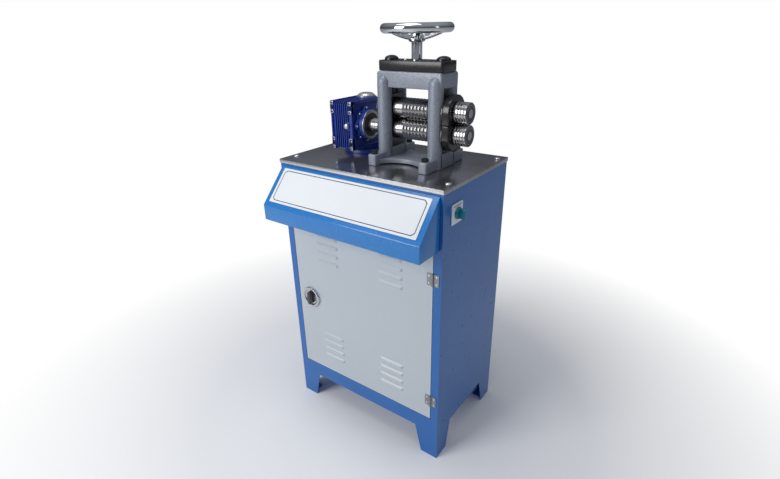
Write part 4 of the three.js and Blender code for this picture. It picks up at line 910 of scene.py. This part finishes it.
# %% Camera
scene = bpy.context.scene
PHOTO = (780, 479)
FOCAL_PX = 482.7
AXIS_PX = (387.6, 242.9)  # where the lens axis meets the picture
SENSOR = 36.0
EYE = (866.5, -1203.7, 1306.3)
RIGHT = Vector((0.8085, 0.5882, -0.0199))
UP = Vector((-0.2295, 0.3461, 0.9097))
BACK = Vector((0.5419, -0.7309, 0.4148))
camera_data = bpy.data.cameras.new("camera")
camera_data.sensor_width = SENSOR
camera_data.lens = SENSOR * FOCAL_PX / PHOTO[0]
camera_data.shift_x = (PHOTO[0] / 2 - AXIS_PX[0]) / PHOTO[0]
camera_data.shift_y = (AXIS_PX[1] - PHOTO[1] / 2) / PHOTO[0]
camera_data.clip_end = 50.0
camera = bpy.data.objects.new("camera", camera_data)
facing = Matrix((RIGHT, UP, BACK)).transposed().to_4x4()
camera.matrix_world = Matrix.Translation(metres(EYE)) @ facing
scene.collection.objects.link(camera)
scene.camera = camera

# %% [markdown]
# The photograph is cut out on white. A pale floor takes the soft shadow, and far from the machine it fades to
# plain white for the camera, so that no horizon shows. A shader can tell the camera's own rays apart, so the
# floor still lights the machine as a floor would.

# %% Floor
floor_mesh = bpy.data.meshes.new("floor")
floor_mesh.from_pydata([(-30, -30, 0), (30, -30, 0), (30, 30, 0), (-30, 30, 0)], [], [(0, 1, 2, 3)])
floor_shader = Shader("floor_white")
floor_mesh.materials.append(floor_shader.finish(colour=(0.93, 0.93, 0.93, 1.0), rough=0.9))
split = floor_shader.node("ShaderNodeSeparateXYZ", {}, {0: floor_shader.coords})
reach = (split.out(0) ** 2 + split.out(1) ** 2) ** 0.5
from_camera = floor_shader.node("ShaderNodeLightPath").out("Is Camera Ray")
seen_far = ((reach - 0.7) * 1.2).clamp(0.0, 1.0) * from_camera
glow = floor_shader.node("ShaderNodeEmission", {}, {"Color": (1.0, 1.0, 1.0, 1.0), "Strength": 1.0})
old_output = next(n for n in floor_shader.tree.nodes if n.bl_idname == "ShaderNodeOutputMaterial")
matte = Value(floor_shader, old_output.inputs["Surface"].links[0].from_socket)
whole = floor_shader.node("ShaderNodeMixShader", {}, {0: seen_far, 1: matte, 2: glow.out(0)})
floor_shader.tree.links.new(whole.out(0).socket, old_output.inputs["Surface"])
floor = bpy.data.objects.new("floor", floor_mesh)
scene.collection.objects.link(floor)

# %% [markdown]
# The camera sees a white world, but the machine is lit by a dim one that runs from dark grey below to a cool
# white above. Chrome needs that change of tone: in an even white room it would look flat.

# %% World
world = bpy.data.worlds.new("studio")
world.use_nodes = True
scene.world = world
nodes, links = world.node_tree.nodes, world.node_tree.links
nodes.clear()
paths = nodes.new("ShaderNodeLightPath")
lit = nodes.new("ShaderNodeBackground")
seen = nodes.new("ShaderNodeBackground")
place = nodes.new("ShaderNodeTexCoord")
height = nodes.new("ShaderNodeSeparateXYZ")
ramp = nodes.new("ShaderNodeValToRGB")
links.new(place.outputs["Generated"], height.inputs[0])
links.new(height.outputs["Z"], ramp.inputs["Fac"])
ramp.color_ramp.elements[0].position = 0.0
ramp.color_ramp.elements[0].color = (0.10, 0.11, 0.13, 1.0)
ramp.color_ramp.elements[1].position = 0.75
ramp.color_ramp.elements[1].color = (0.85, 0.90, 1.0, 1.0)
links.new(ramp.outputs["Color"], lit.inputs["Color"])
lit.inputs["Strength"].default_value = 0.42
seen.inputs["Color"].default_value = (1.0, 1.0, 1.0, 1.0)
blend = nodes.new("ShaderNodeMixShader")
world_out = nodes.new("ShaderNodeOutputWorld")
links.new(paths.outputs["Is Camera Ray"], blend.inputs[0])
links.new(lit.outputs[0], blend.inputs[1])
links.new(seen.outputs[0], blend.inputs[2])
links.new(blend.outputs[0], world_out.inputs["Surface"])

# %% [markdown]
# A big soft light from the front left does most of the work and leaves the right side dark, as in the
# photograph. One above gives the table and the handwheel their bright bands, and a faint one from the right
# keeps the dark side readable.

# %% Lights


def softbox(name, place, target, size, power):
    data = bpy.data.lights.new(name, "AREA")
    data.shape = "RECTANGLE"
    data.size, data.size_y = size
    data.energy = power
    made = bpy.data.objects.new(name, data)
    direction = Vector(target) - Vector(place)
    turn = direction.to_track_quat("-Z", "Y").to_matrix().to_4x4()
    made.matrix_world = Matrix.Translation(place) @ turn
    scene.collection.objects.link(made)


softbox("key", (-1.5, -3.4, 2.2), (0, 0, 0.6), (2.0, 2.2), 86)
softbox("top", (-0.3, -0.4, 3.4), (0, 0, 1.0), (1.8, 1.4), 24)
softbox("side", (3.2, 0.4, 1.8), (0.1, 0, 0.9), (0.5, 1.8), 3)
scene.view_settings.view_transform = "Standard"
